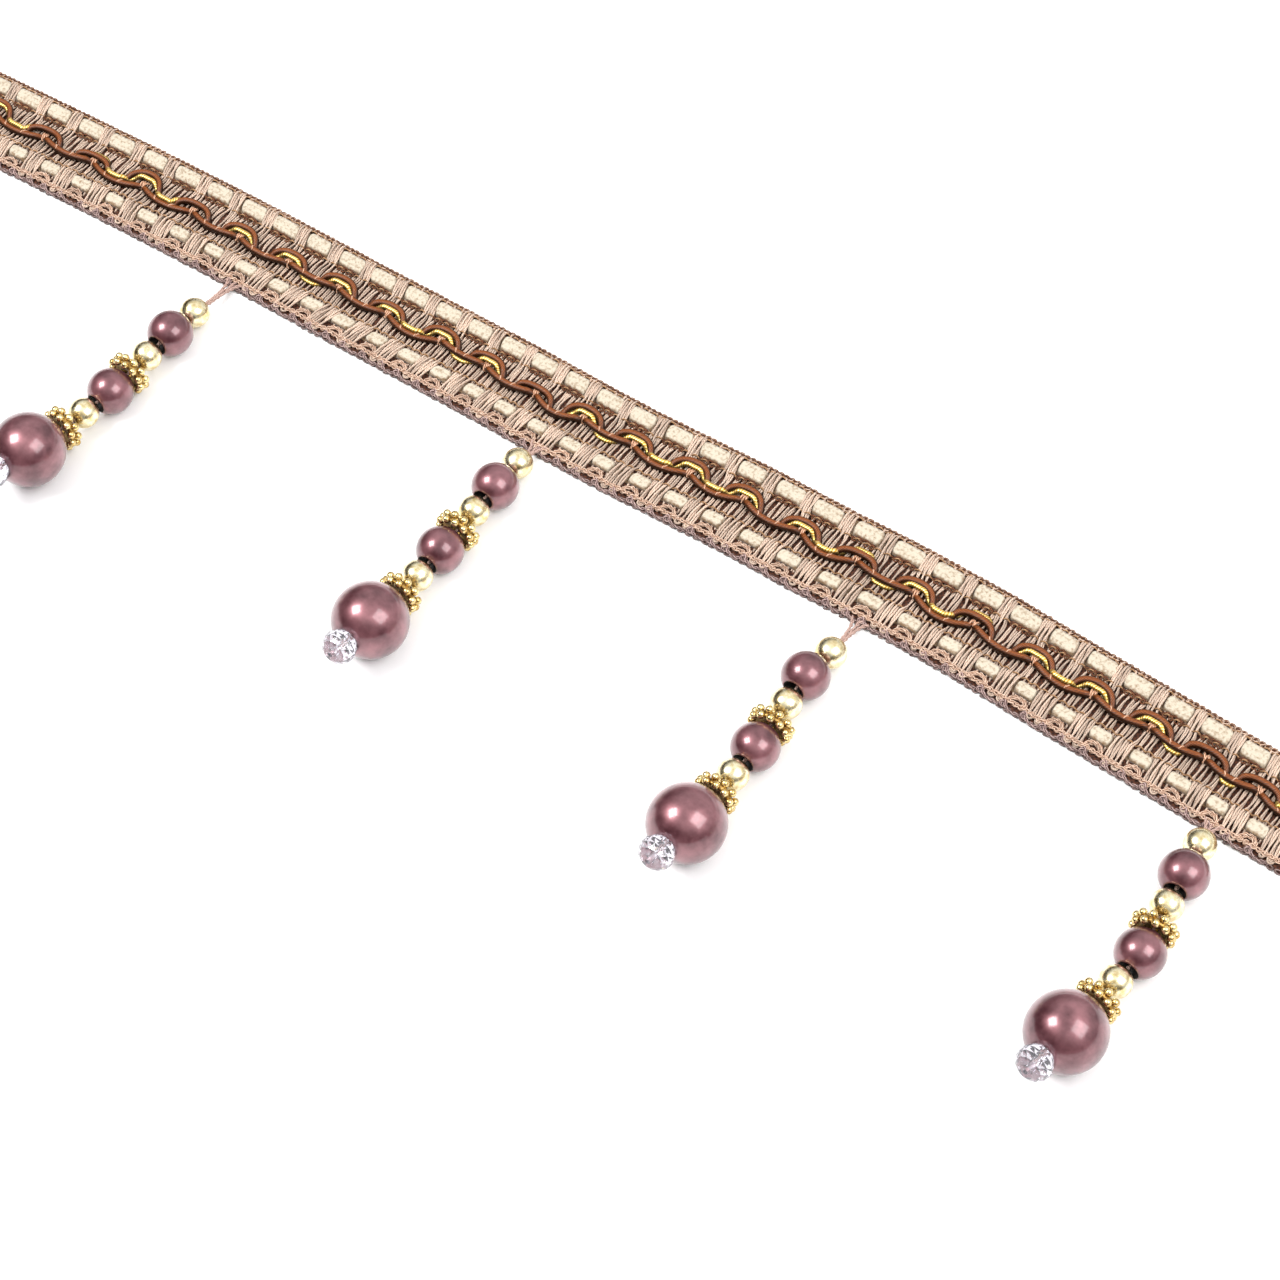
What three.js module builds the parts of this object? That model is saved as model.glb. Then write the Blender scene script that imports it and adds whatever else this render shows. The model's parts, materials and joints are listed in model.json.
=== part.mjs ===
// A straight cut length of beaded braid trim, lying flat: a woven gimp braid with two rows of
// ribbon blocks, three wavy cords along its middle, and four strung bead drops on its near edge.
// Millimetres, +Z up. The origin is under the middle of the whole trim, on the surface it lies on.

import * as THREE from 'three';

// The braid
const BRAID_LENGTH = 360;
const BRAID_WIDTH = 23.5;
const BRAID_BOW = 9.5e-5; // the braid lies in a faint arch: its ends fall back by this times x squared
const EDGE_HEIGHT = 0.9; // thickness at the two selvedges
const WEAVE_HEIGHT = 1.4; // thickness of the plain woven ground
const BLOCK_HEIGHT = 1.95; // top of the padded ribbon blocks
const BLOCK_PITCH = 9.17;
const BLOCK_START = 0.9; // the middle of the ribbon block nearest the middle of the braid
const CLEARANCE = 0.3; // what two neighbouring pieces keep between them

// The cords that wave along the middle of the braid
const WAVE_LENGTH = 13.85;
const WAVE_START = -1.3; // the crest nearest the middle of the braid
const STEPS_PER_WAVE = 5;
const CORD_SIDES = 4;

// The braid was fed a little unevenly: its pattern drifts back and forth by this much
const DRIFT = 1.4;
const DRIFT_LENGTH = 180;
const DRIFT_START = -109;

// The beads, as diameters, with the bore that the thread runs through
const BIG_PEARL = 16;
const PEARL = 10;
const GOLD_BEAD = 6.2;
const SPACER = 9.6;
const CRYSTAL = 7.4;
const CRYSTAL_LENGTH = 6.2;
const BORE = 2.4;
const THREAD = 0.9;
const WIDE_HOLE = 4.6; // the open end of a medium pearl
const END_HOLE = 5.2; // the open end of a big pearl, which the crystal sits in

// The spacer is a flower with a raised hub and a scalloped rim
const SPACER_LOBES = 12;
const LOBE_DEPTH = 0.45;

// How far each bead's centre lies after the one before it, along the thread, and its height
const STRING = [
  { bead: 'gold_bead_upper', spacing: 0, height: 3.6 },
  { bead: 'pearl_upper', spacing: 8.3, height: PEARL / 2 },
  { bead: 'gold_bead_middle', spacing: 7.4, height: PEARL / 2 },
  { bead: 'spacer_upper', spacing: 5.4, height: PEARL / 2 },
  { bead: 'pearl_lower', spacing: 6.4, height: PEARL / 2 },
  { bead: 'gold_bead_lower', spacing: 7.6, height: 5.2 },
  { bead: 'spacer_lower', spacing: 5.5, height: 5.8 },
  { bead: 'big_pearl', spacing: 10.0, height: BIG_PEARL / 2 },
  { bead: 'crystal', spacing: 9.8, height: 10.4 },
];

// Each drop: where its thread leaves the braid, the bare thread before the first bead, and the
// way that its three stretches turn from straight out of the braid, in degrees
const DROPS = [
  { x: -90.0, thread: 11.2, upper: 2.0, middle: -1.5, lower: -5.5 },
  { x: -5.4, thread: 6.3, upper: 3.8, middle: 1.5, lower: 1.5 },
  { x: 77.4, thread: 9.3, upper: -3.0, middle: 4.2, lower: 0.8 },
  { x: 159.8, thread: 5.5, upper: 9.5, middle: 6.6, lower: -4.0 },
];
const LAST_OF_UPPER = 'pearl_upper';
const LAST_OF_MIDDLE = 'pearl_lower';
const THREAD_START_HEIGHT = 1.2;

const finish = {
  braid: { color: 0xb79a92, roughness: 0.75, metalness: 0 },
  brownCord: { color: 0x8a4526, roughness: 0.45, metalness: 0 },
  goldCord: { color: 0xe0ae3c, roughness: 0.3, metalness: 0.8 },
  thread: { color: 0xb08a84, roughness: 0.7, metalness: 0 },
  pearl: { color: 0x9a6066, roughness: 0.25, metalness: 0.1 },
  goldBead: { color: 0xecd9a0, roughness: 0.15, metalness: 1 },
  spacer: { color: 0xd9b45c, roughness: 0.3, metalness: 1 },
  crystal: { color: 0xe8ecf0, roughness: 0.05, metalness: 0 },
};

const trim = new THREE.Group();

function place(name, geometry, look) {
  const mesh = new THREE.Mesh(geometry, new THREE.MeshStandardMaterial(look));
  mesh.name = name;
  trim.add(mesh);
  return mesh;
}

// The y of the braid's middle line at x
const middleLine = (x) => -BRAID_BOW * x * x;

// Where a point of the even pattern comes to lie along the braid
const drifted = (x) => x + DRIFT * Math.sin((2 * Math.PI * (x - DRIFT_START)) / DRIFT_LENGTH);

// A closed skin from a grid of points; each row of the grid is joined to the next
function gridGeometry(rows, { closeRows, closeColumns }) {
  const columns = rows[0].length;
  const position = rows.flat().flatMap((point) => point.toArray());
  const index = [];
  const rowCount = closeRows ? rows.length : rows.length - 1;
  const columnCount = closeColumns ? columns : columns - 1;
  for (let r = 0; r < rowCount; r++) {
    const next = (r + 1) % rows.length;
    for (let c = 0; c < columnCount; c++) {
      const across = (c + 1) % columns;
      const a = r * columns + c;
      const b = r * columns + across;
      const d = next * columns + c;
      const e = next * columns + across;
      index.push(a, d, b, b, d, e);
    }
  }
  const geometry = new THREE.BufferGeometry();
  geometry.setAttribute('position', new THREE.Float32BufferAttribute(position, 3));
  geometry.setIndex(index);
  return geometry;
}

// The braid's cross section from the far selvedge to the near one, over the top and back below.
// A row marked as upper or lower carries that row of ribbon blocks.
const CROSS_SECTION = [
  { y: 11.75, height: 0 },
  { y: 11.75, height: EDGE_HEIGHT },
  { y: 10.3, height: 1.25 },
  { y: 9.6, height: WEAVE_HEIGHT, blocks: 'upper' },
  { y: 6.3, height: WEAVE_HEIGHT, blocks: 'upper' },
  { y: 5.7, height: WEAVE_HEIGHT },
  { y: -4.2, height: WEAVE_HEIGHT },
  { y: -4.8, height: WEAVE_HEIGHT, blocks: 'lower' },
  { y: -7.7, height: WEAVE_HEIGHT, blocks: 'lower' },
  { y: -8.4, height: 1.15 },
  { y: -11.75, height: EDGE_HEIGHT },
  { y: -11.75, height: 0 },
];
// Where a block starts, rises, falls and ends, as shares of the pitch from its middle
const UPPER_BLOCK = [-0.36, -0.29, 0.29, 0.36];
const LOWER_BLOCK = [-0.26, -0.2, 0.2, 0.26];
const UPPER_ROW_ENDS = 6.3; // the blend from the upper blocks' columns to the lower ones' starts here
const LOWER_ROW_STARTS = -4.8;

function braidGeometry() {
  const half = BRAID_LENGTH / 2;
  const reach = Math.floor((half - BLOCK_START) / BLOCK_PITCH - UPPER_BLOCK[3]);
  const columns = [{ end: -half }];
  for (let block = -reach; block <= reach; block++) {
    for (let step = 0; step < UPPER_BLOCK.length; step++) {
      columns.push({ block, step, high: step === 1 || step === 2 });
    }
  }
  columns.push({ end: half });
  const rows = CROSS_SECTION.map((row) => {
    const towardsLower = THREE.MathUtils.clamp(
      (UPPER_ROW_ENDS - row.y) / (UPPER_ROW_ENDS - LOWER_ROW_STARTS), 0, 1);
    return columns.map(({ end, block, step, high }) => {
      const share = THREE.MathUtils.lerp(UPPER_BLOCK[step], LOWER_BLOCK[step], towardsLower);
      const x = end ?? drifted(BLOCK_START + (block + share) * BLOCK_PITCH);
      const height = row.blocks && high ? BLOCK_HEIGHT : row.height;
      return new THREE.Vector3(x, row.y + middleLine(x), height);
    });
  });
  return withCutEnds(gridGeometry(rows, { closeRows: true, closeColumns: false }), rows);
}

// Closes the two cut ends of the braid with a fan over the first and the last column
function withCutEnds(geometry, rows) {
  const columns = rows[0].length;
  const section = rows.map((row) => new THREE.Vector2(row[0].y, row[0].z));
  const index = [...geometry.index.array];
  for (const [a, b, c] of THREE.ShapeUtils.triangulateShape(section, [])) {
    const start = [c, b, a].map((r) => r * columns);
    index.push(...start);
    index.push(...start.map((i) => i + columns - 1).reverse());
  }
  geometry.setIndex(index);
  return geometry;
}

// One wavy cord: its middle is `offset` above the braid's middle line and swings by `swing`
function cordGeometry({ diameter, offset, swing }) {
  const steps = Math.round((BRAID_LENGTH / WAVE_LENGTH) * STEPS_PER_WAVE);
  const rise = WEAVE_HEIGHT + CLEARANCE + diameter / 2;
  const rings = [];
  for (let i = 0; i <= steps; i++) {
    const even = BRAID_LENGTH * (i / steps - 0.5);
    const x = THREE.MathUtils.clamp(drifted(even), -BRAID_LENGTH / 2, BRAID_LENGTH / 2);
    const phase = (2 * Math.PI * (even - WAVE_START)) / WAVE_LENGTH;
    const y = middleLine(x) + offset + swing * Math.cos(phase);
    rings.push(ringAt(new THREE.Vector3(x, y, rise), new THREE.Vector3(1, 0, 0), diameter));
  }
  return cappedTube(rings);
}

const CORDS = [
  { name: 'brown_cord_upper', look: finish.brownCord, diameter: 1.2, offset: 2.45, swing: 0.85 },
  { name: 'gold_cord', look: finish.goldCord, diameter: 0.9, offset: 0.85, swing: 0.8 },
  { name: 'brown_cord_lower', look: finish.brownCord, diameter: 1.2, offset: -0.7, swing: 0.7 },
];

// A ring of points round a path, square to the given direction
function ringAt(centre, direction, diameter, sides = CORD_SIDES) {
  const side = new THREE.Vector3(0, 0, 1).cross(direction).normalize();
  const up = direction.clone().cross(side).normalize();
  const ring = [];
  for (let s = 0; s < sides; s++) {
    const angle = (-2 * Math.PI * (s + 0.5)) / sides;
    const reach = diameter / 2 / Math.cos(Math.PI / sides);
    ring.push(centre.clone()
      .addScaledVector(side, reach * Math.cos(angle))
      .addScaledVector(up, reach * Math.sin(angle)));
  }
  return ring;
}

// A solid tube through the rings, closed at both ends
function cappedTube(rings) {
  const sides = rings[0].length;
  const geometry = gridGeometry(rings, { closeRows: false, closeColumns: true });
  const index = [...geometry.index.array];
  const last = (rings.length - 1) * sides;
  for (let s = 1; s < sides - 1; s++) {
    index.push(0, s, s + 1);
    index.push(last, last + s + 1, last + s);
  }
  geometry.setIndex(index);
  return geometry;
}

// The outline of a bored ball, from its upper hole round the outside to its lower hole
function ballProfile(diameter, upperHole, lowerHole, arcs, holeDepth) {
  const radius = diameter / 2;
  const from = Math.asin(upperHole / diameter);
  const to = Math.PI - Math.asin(lowerHole / diameter);
  const outline = [];
  for (let i = 0; i <= arcs; i++) {
    const angle = from + ((to - from) * i) / arcs;
    outline.push(new THREE.Vector2(radius * Math.sin(angle), radius * Math.cos(angle)));
  }
  if (lowerHole > upperHole) outline.push(new THREE.Vector2(upperHole / 2, holeDepth - radius));
  return outline;
}

// Turns a closed outline round the y axis, as bored beads are turned; `lobed` marks rim points
function turned(outline, segments, lobes = 0) {
  const rows = outline.map((point) => {
    const ring = [];
    for (let s = 0; s < segments; s++) {
      const angle = (2 * Math.PI * s) / segments;
      const scallop = point.lobed ? LOBE_DEPTH * (Math.cos(lobes * angle) - 1) : 0;
      const r = point.x + scallop;
      ring.push(new THREE.Vector3(r * Math.cos(angle), point.y, -r * Math.sin(angle)));
    }
    return ring;
  });
  return gridGeometry(rows, { closeRows: true, closeColumns: true });
}

const beadGeometry = {
  goldBead: () => turned(ballProfile(GOLD_BEAD, BORE, BORE, 5), 10),
  pearl: () => turned(ballProfile(PEARL, BORE, WIDE_HOLE, 8, 3.4), 14),
  bigPearl: () => turned(ballProfile(BIG_PEARL, BORE, END_HOLE, 9, 3.6), 18),
  spacer: () => turned(spacerProfile(), SPACER_LOBES * 2, SPACER_LOBES),
  crystal: () => turned(crystalProfile(), 10),
};

// The spacer's hub faces up the thread and its scalloped rim leans down over the next pearl
function spacerProfile() {
  const rim = SPACER / 2;
  const points = [
    { x: BORE / 2, y: 1.5 },
    { x: 2.1, y: 1.5 },
    { x: rim, y: 0.4, lobed: true },
    { x: rim, y: -1.6, lobed: true },
    { x: 3.1, y: -1.3 },
    { x: BORE / 2, y: -1.0 },
  ];
  return points.map((p) => Object.assign(new THREE.Vector2(p.x, p.y), { lobed: p.lobed }));
}

function crystalProfile() {
  const half = CRYSTAL_LENGTH / 2;
  return [
    new THREE.Vector2(BORE / 2, half),
    new THREE.Vector2(1.55, half),
    new THREE.Vector2(CRYSTAL / 2, 0.5),
    new THREE.Vector2(CRYSTAL / 2, -0.7),
    new THREE.Vector2(2.0, -half),
    new THREE.Vector2(BORE / 2, -half),
  ];
}

const beadKind = (bead) => {
  if (bead.startsWith('gold_bead')) return { make: beadGeometry.goldBead, look: finish.goldBead };
  if (bead.startsWith('spacer')) return { make: beadGeometry.spacer, look: finish.spacer };
  if (bead === 'big_pearl') return { make: beadGeometry.bigPearl, look: finish.pearl };
  if (bead === 'crystal') return { make: beadGeometry.crystal, look: finish.crystal };
  return { make: beadGeometry.pearl, look: finish.pearl };
};

// The centres of a drop's beads, each laid out from the one before it
function beadCentres(drop) {
  const edge = middleLine(drop.x) - BRAID_WIDTH / 2;
  const start = new THREE.Vector3(drop.x, edge - CLEARANCE, THREAD_START_HEIGHT);
  let turn = drop.upper;
  let last = new THREE.Vector3(drop.x, edge, STRING[0].height);
  last.add(outward(turn, drop.thread));
  const centres = STRING.map((row, i) => {
    if (i > 0) {
      const climb = row.height - last.z;
      const along = Math.sqrt(row.spacing ** 2 - climb ** 2);
      last = last.clone().add(outward(turn, along)).setZ(row.height);
    }
    if (row.bead === LAST_OF_UPPER) turn = drop.middle;
    if (row.bead === LAST_OF_MIDDLE) turn = drop.lower;
    return last;
  });
  return { start, centres };
}

// A step away from the braid over the surface, turned by so many degrees
function outward(degrees, distance) {
  const angle = THREE.MathUtils.degToRad(degrees);
  return new THREE.Vector3(Math.sin(angle), -Math.cos(angle), 0).multiplyScalar(distance);
}

// A faceted ball comes to lie on one of its flats, a little lower than a round one
function setDown(bead) {
  bead.updateMatrixWorld(true);
  bead.position.z -= new THREE.Box3().setFromObject(bead, true).min.z;
}

function stringBeads(drop, number) {
  const { start, centres } = beadCentres(drop);
  const path = [start, ...centres];
  STRING.forEach((row, i) => {
    const { make, look } = beadKind(row.bead);
    const before = path[i];
    const after = path[Math.min(i + 2, path.length - 1)];
    const uphill = before.clone().sub(after).normalize();
    const turn = new THREE.Quaternion().setFromUnitVectors(new THREE.Vector3(0, 1, 0), uphill);
    const bead = place(`drop_${number}_${row.bead}`, make(), look);
    bead.position.copy(centres[i]);
    bead.quaternion.copy(turn);
    if (row.bead.includes('pearl')) setDown(bead);
  });
  const rings = path.map((point, i) => {
    const direction = path[Math.min(i + 1, path.length - 1)].clone().sub(path[Math.max(i - 1, 0)]);
    return ringAt(point, direction.normalize(), THREAD, 6);
  });
  place(`drop_${number}_thread`, cappedTube(rings), finish.thread);
}

place('braid', braidGeometry(), finish.braid);
for (const cord of CORDS) place(cord.name, cordGeometry(cord), cord.look);
DROPS.forEach((drop, i) => stringBeads(drop, i + 1));

// The origin goes under the middle of the whole trim
trim.updateMatrixWorld(true);
const bounds = new THREE.Box3().setFromObject(trim, true);
const centre = bounds.getCenter(new THREE.Vector3());
trim.position.set(-centre.x, -centre.y, -bounds.min.z);

export default trim;
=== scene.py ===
"""Looks of a beaded braid trim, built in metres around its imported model.

Sizes in the classes are millimetres, and MM turns them into metres where a mesh is made. A place on
the braid is given as (along, across, height): along its middle line, from that line towards the far
selvedge, and up from the surface it lies on.
"""

import json
import logging
import math
import random
from collections.abc import Callable, Sequence
from dataclasses import dataclass
from enum import Enum
from typing import ClassVar

import bmesh
import bpy
from mathutils import Matrix, Vector

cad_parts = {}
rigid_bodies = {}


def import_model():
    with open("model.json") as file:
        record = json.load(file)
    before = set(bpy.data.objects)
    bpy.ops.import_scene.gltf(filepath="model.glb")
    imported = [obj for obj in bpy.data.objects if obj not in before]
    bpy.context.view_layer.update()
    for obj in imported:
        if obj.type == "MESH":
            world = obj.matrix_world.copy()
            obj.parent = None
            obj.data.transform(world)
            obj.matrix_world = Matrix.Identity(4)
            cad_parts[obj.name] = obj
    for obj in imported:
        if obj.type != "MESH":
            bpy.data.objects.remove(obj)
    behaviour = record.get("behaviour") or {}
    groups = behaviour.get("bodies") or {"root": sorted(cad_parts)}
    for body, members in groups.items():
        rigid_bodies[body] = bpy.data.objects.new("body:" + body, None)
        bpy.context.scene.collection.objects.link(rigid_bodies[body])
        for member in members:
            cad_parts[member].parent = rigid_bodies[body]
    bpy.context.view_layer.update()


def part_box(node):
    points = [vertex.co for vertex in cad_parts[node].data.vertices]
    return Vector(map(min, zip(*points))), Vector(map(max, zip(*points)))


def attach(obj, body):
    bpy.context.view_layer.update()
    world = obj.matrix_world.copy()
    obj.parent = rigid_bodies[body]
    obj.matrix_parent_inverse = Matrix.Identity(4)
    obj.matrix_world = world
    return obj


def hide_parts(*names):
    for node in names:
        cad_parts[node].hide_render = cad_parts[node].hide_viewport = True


MM = 0.001
TURN = 2 * math.pi
log = logging.getLogger("beaded_trim")

Piece = bpy.types.Object
Tree = bpy.types.NodeTree
Node = bpy.types.Node
Socket = bpy.types.NodeSocket
Colour = tuple[float, float, float, float]
Table = list[tuple[float, float]]  # rows of a place and the value there


# Small helpers


def linear(code: str) -> tuple[float, float, float, float]:
    """Turns an sRGB hex colour into the linear one that the shaders use.

    Args:
        code: Six hex digits, with or without a leading hash.

    Returns:
        Linear red, green, blue and an alpha of 1.
    """
    digits = code.lstrip("#")
    channels = [int(digits[i : i + 2], 16) / 255 for i in (0, 2, 4)]
    curve = [c / 12.92 if c <= 0.04045 else ((c + 0.055) / 1.055) ** 2.4 for c in channels]
    return (*curve, 1.0)


def set_inputs(tree: Tree, node: Node, inputs: dict) -> None:
    """Links or sets a node's inputs.

    Args:
        tree: The node tree.
        node: The node whose inputs are set.
        inputs: For each input, by name or number, a socket that feeds it, a node whose first
            output feeds it, or its plain value.
    """
    for key, value in inputs.items():
        if isinstance(value, Node):
            value = value.outputs[0]
        if isinstance(value, Socket):
            tree.links.new(value, node.inputs[key])
        else:
            node.inputs[key].default_value = value


def add_node(tree: Tree, kind: str, inputs: dict | None = None,
             stops: Sequence[tuple[float, Colour]] = (), **settings: object) -> Node:
    """Adds a node to a shader or geometry tree, with its settings, values and links.

    Args:
        tree: The node tree.
        kind: Blender's name for the kind of node.
        inputs: What feeds or sets each input.
        stops: The places and colours of a colour ramp, in rising order.
        **settings: The node's own properties.

    Returns:
        The new node.
    """
    node = tree.nodes.new(kind)
    for name, value in settings.items():
        setattr(node, name, value)
    set_inputs(tree, node, inputs or {})
    if stops:
        ramp = node.color_ramp.elements
        ramp.remove(ramp[1])
        ramp[0].position, ramp[0].color = stops[0]
        for place, colour in stops[1:]:
            ramp.new(place).color = colour
    return node


def mesh_object(name: str, points: list, faces: list, edges: Sequence = ()) -> Piece:
    """Makes an object from points in millimetres.

    Args:
        name: The object's name.
        points: Places in the shared frame, in millimetres.
        faces: Corner numbers of each face.
        edges: Pairs of point numbers, for a mesh of lines.

    Returns:
        The new object, linked to the scene, with its place in its mesh.
    """
    mesh = bpy.data.meshes.new(name)
    mesh.from_pydata([Vector(p) * MM for p in points], list(edges), faces)
    mesh.update()
    piece = bpy.data.objects.new(name, mesh)
    bpy.context.scene.collection.objects.link(piece)
    return piece


def drop_object(piece: Piece) -> None:
    """Deletes a helper object and its mesh."""
    mesh = piece.data
    bpy.data.objects.remove(piece)
    bpy.data.meshes.remove(mesh)


def smooth_step(edge_low: float, edge_high: float, value: float) -> float:
    """Rises smoothly from 0 to 1 while value goes from the low edge to the high one."""
    share = min(1.0, max(0.0, (value - edge_low) / (edge_high - edge_low)))
    return share * share * (3 - 2 * share)


def between(table: Table, value: float) -> float:
    """Reads a value off a short table of (place, value) rows by straight lines.

    Args:
        table: Rows in rising order of place.
        value: The place to read at.

    Returns:
        The value there, or the nearest end's value outside the table.
    """
    for (a, low), (b, high) in zip(table, table[1:]):
        if value <= b:
            return low + (high - low) * max(0.0, (value - a) / (b - a))
    return table[-1][1]


def stands_for(piece: Piece, node: str) -> Piece:
    """Lets a piece stand for its solid.

    Args:
        piece: The finished piece.
        node: The solid's node.

    Returns:
        The same piece.
    """
    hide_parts(node)
    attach(piece, "root")
    return piece


# Where things lie along the braid


@dataclass
class BraidLine:
    """The faintly arched line that the braid is laid along, in millimetres, read from its solid.

    The pattern was fed a little unevenly, so an evenly spaced place drifts to and fro along it.
    The tables have rows of (along, shift): sway is how far the braid lies off its bow, and slip is
    what the ribbons' drift adds to its slow swing.
    """

    width: float = 23.5
    drift: float = 1.4
    drift_length: float = 180.0
    drift_start: float = -109.0
    block_pitch: float = 9.17
    block_start: float = 0.9
    end_margin: float = 4.0  # a block nearer than this to a cut end has no knots and no tufts
    sway: ClassVar[Table] = [
        (-180, 0.0), (-130, 0.4), (-100, 0.4), (-60, -0.3), (-20, -0.45), (0, -0.85), (12, -0.8),
        (40, 0.25), (60, 0.4), (75, 1.0), (98, 1.05), (120, 0.25), (160, -0.5), (180, -0.6)]
    slip: ClassVar[Table] = [
        (-180, -0.2), (-120, 0.4), (-60, 0.2), (0, 0.1), (50, 0.4), (85, 1.2), (130, 0.8), (160, 1.4)]

    def __post_init__(self) -> None:
        """Reads the braid's length, bow and middle from the frame."""
        low, high = (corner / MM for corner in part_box("braid"))
        self.half = (high.x - low.x) / 2
        self.middle = high.y - self.width / 2
        self.bow = (high.y - low.y - self.width) / self.half**2

    def drifted(self, even: float) -> float:
        """Gives where an evenly spaced place comes to lie."""
        swing = self.drift * math.sin(TURN * (even - self.drift_start) / self.drift_length)
        return even + swing + between(self.slip, even)

    def at(self, along: float, across: float, height: float) -> Vector:
        """Turns a place on the braid into one in the shared frame, in millimetres."""
        middle = self.middle - self.bow * along**2 + between(self.sway, along)
        return Vector((along, middle + across, height))

    def blocks(self) -> range:
        """Gives the numbers of the pitches that the braid holds, with one past each end."""
        reach = math.ceil(self.half / self.block_pitch) + 1
        return range(-reach, reach + 1)

    def block_middle(self, block: float) -> float:
        """Gives the even place of a block's middle; half a block on lies the gap after it."""
        return self.block_start + block * self.block_pitch

    def whole_blocks(self) -> list[int]:
        """Gives the numbers of the blocks that lie clear of the cut ends."""
        reach = self.half - self.end_margin
        return [block for block in self.blocks() if abs(self.drifted(self.block_middle(block))) <= reach]


# Finishes


@dataclass(frozen=True)
class Finish:
    """A named surface finish that makes its own shader."""

    name: str

    def material(self) -> bpy.types.Material:
        """Makes the material, or gives the one made before."""
        known = bpy.data.materials.get(self.name)
        if known:
            return known
        material = bpy.data.materials.new(self.name)
        material.use_nodes = True
        tree = material.node_tree
        tree.nodes.clear()
        shader = add_node(tree, "ShaderNodeBsdfPrincipled")
        add_node(tree, "ShaderNodeOutputMaterial", {"Surface": shader})
        self.dress(tree, shader)
        return material

    def dress(self, tree: Tree, shader: Node) -> None:
        """Sets the shader up; each kind of finish has its own way."""
        raise NotImplementedError


@dataclass(frozen=True)
class Yarn(Finish):
    """Filament yarn: silky fibres laid in a helix, with painted highlight on the bundles' backs and painted
    shade in the grooves.

    Reads the attribute "lay", which holds the cosine and the sine of the turn round the yarn and
    the length along it in millimetres, "up", how far it faces up, and "tint", its own lightness.
    """

    light: str = "#FFEFDE"
    middle: str = "#E4C0A3"
    dark: str = "#804628"
    fibres: int = 9
    fibre_pitch: float = 7.0  # mm along the yarn for one turn of a fibre
    relief: float = 0.06  # mm, as deep as a groove between two bundles of fibre
    roughness: float = 0.55
    specular: float = 0.25
    metallic: float = 0.0
    sheen: float = 0.08
    # deep_at, clear_at and deep_shade paint shade on what lies deep in the weave; flank_shade and flank_from
    # paint shade on the flanks
    deep_at: float = 0.5  # mm above the surface, where the yarn lies in the dark of the weave
    clear_at: float = 1.45  # mm, above which it catches the full light
    deep_shade: float = 0.97
    flank_shade: float = 0.75  # how dark the flanks are, where the next yarn takes the light
    flank_from: float = 0.0  # how little a flank faces up

    def dress(self, tree: Tree, shader: Node) -> None:
        """Paints fibre stripes that wind round the yarn, with painted highlight on the bundles and painted
        shade in the grooves, and paints shade on its flanks and on what lies deep.
        """
        place = add_node(tree, "ShaderNodeTexCoord").outputs["Object"]
        height = self.fibre_height(tree, place)
        # The colour ramp on the fibre height paints shade in the grooves and highlight on the bundles' backs
        ramp = add_node(tree, "ShaderNodeValToRGB", {0: height},
                        [(0.0, linear(self.dark)), (0.35, linear(self.middle)), (1.0, linear(self.light))])
        colour = add_node(tree, "ShaderNodeVectorMath", {0: ramp, "Scale": self.lightness(tree, place)},
                          operation="SCALE")
        bump = add_node(tree, "ShaderNodeBump",
                        {"Strength": 1.0, "Distance": self.relief * MM, "Height": height})
        set_inputs(tree, shader, {
            "Base Color": colour, "Normal": bump, "Roughness": self.roughness,
            "Metallic": self.metallic, "Specular IOR Level": self.specular,
            "Sheen Weight": self.sheen, "Sheen Roughness": 0.4})

    def fibre_height(self, tree: Tree, place: Socket) -> Node:
        """Winds bundles of fibre round the yarn.

        Args:
            tree: The material's tree.
            place: The object coordinates.

        Returns:
            The node that gives 0 in a groove and 1 on the back of a bundle.
        """
        lay = add_node(tree, "ShaderNodeAttribute", attribute_name="lay")
        part = add_node(tree, "ShaderNodeSeparateXYZ", {0: lay.outputs["Vector"]})
        angle = add_node(tree, "ShaderNodeMath", {0: part.outputs[1], 1: part.outputs[0]},
                         operation="ARCTAN2")
        wound = add_node(tree, "ShaderNodeMath", {0: part.outputs[2], 1: TURN / self.fibre_pitch},
                         operation="MULTIPLY")
        turn = add_node(tree, "ShaderNodeMath", {0: angle, 1: wound}, operation="ADD")
        phase = add_node(tree, "ShaderNodeMath", {0: turn, 1: float(self.fibres)}, operation="MULTIPLY")
        # Bundles wander over about 0.6 mm
        uneven = add_node(tree, "ShaderNodeTexNoise",
                          {"Vector": place, "Scale": 1 / (0.6 * MM), "Detail": 2.0})
        shifted = add_node(tree, "ShaderNodeMath", {0: uneven, 1: 5.0, 2: phase},
                           operation="MULTIPLY_ADD")
        stripe = add_node(tree, "ShaderNodeMath", {0: shifted}, operation="SINE")
        return add_node(tree, "ShaderNodeMapRange", {0: stripe, 1: -1.0, 2: 1.0})

    def lightness(self, tree: Tree, place: Socket) -> Node:
        """Paints shade on the yarn where it lies deep and on its flanks, which face less far up, and brings
        in its own tint.

        Args:
            tree: The material's tree.
            place: The object coordinates.

        Returns:
            The node that gives what the colour is scaled by.
        """
        spot = add_node(tree, "ShaderNodeSeparateXYZ", {0: place})
        shade = add_node(tree, "ShaderNodeMapRange",
                         {0: spot.outputs[2], 1: self.deep_at * MM, 2: self.clear_at * MM,
                          3: self.deep_shade, 4: 1.0})
        tint = add_node(tree, "ShaderNodeAttribute", attribute_name="tint")
        tinted = add_node(tree, "ShaderNodeMath", {0: shade, 1: tint.outputs["Fac"]},
                          operation="MULTIPLY")
        # Painted shade on the flanks, from how far each point faces up
        up = add_node(tree, "ShaderNodeAttribute", attribute_name="up")
        flank = add_node(tree, "ShaderNodeMapRange",
                         {0: up.outputs["Fac"], 1: self.flank_from, 2: 0.95,
                          3: self.flank_shade, 4: 1.0})
        return add_node(tree, "ShaderNodeMath", {0: tinted, 1: flank}, operation="MULTIPLY")


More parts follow.
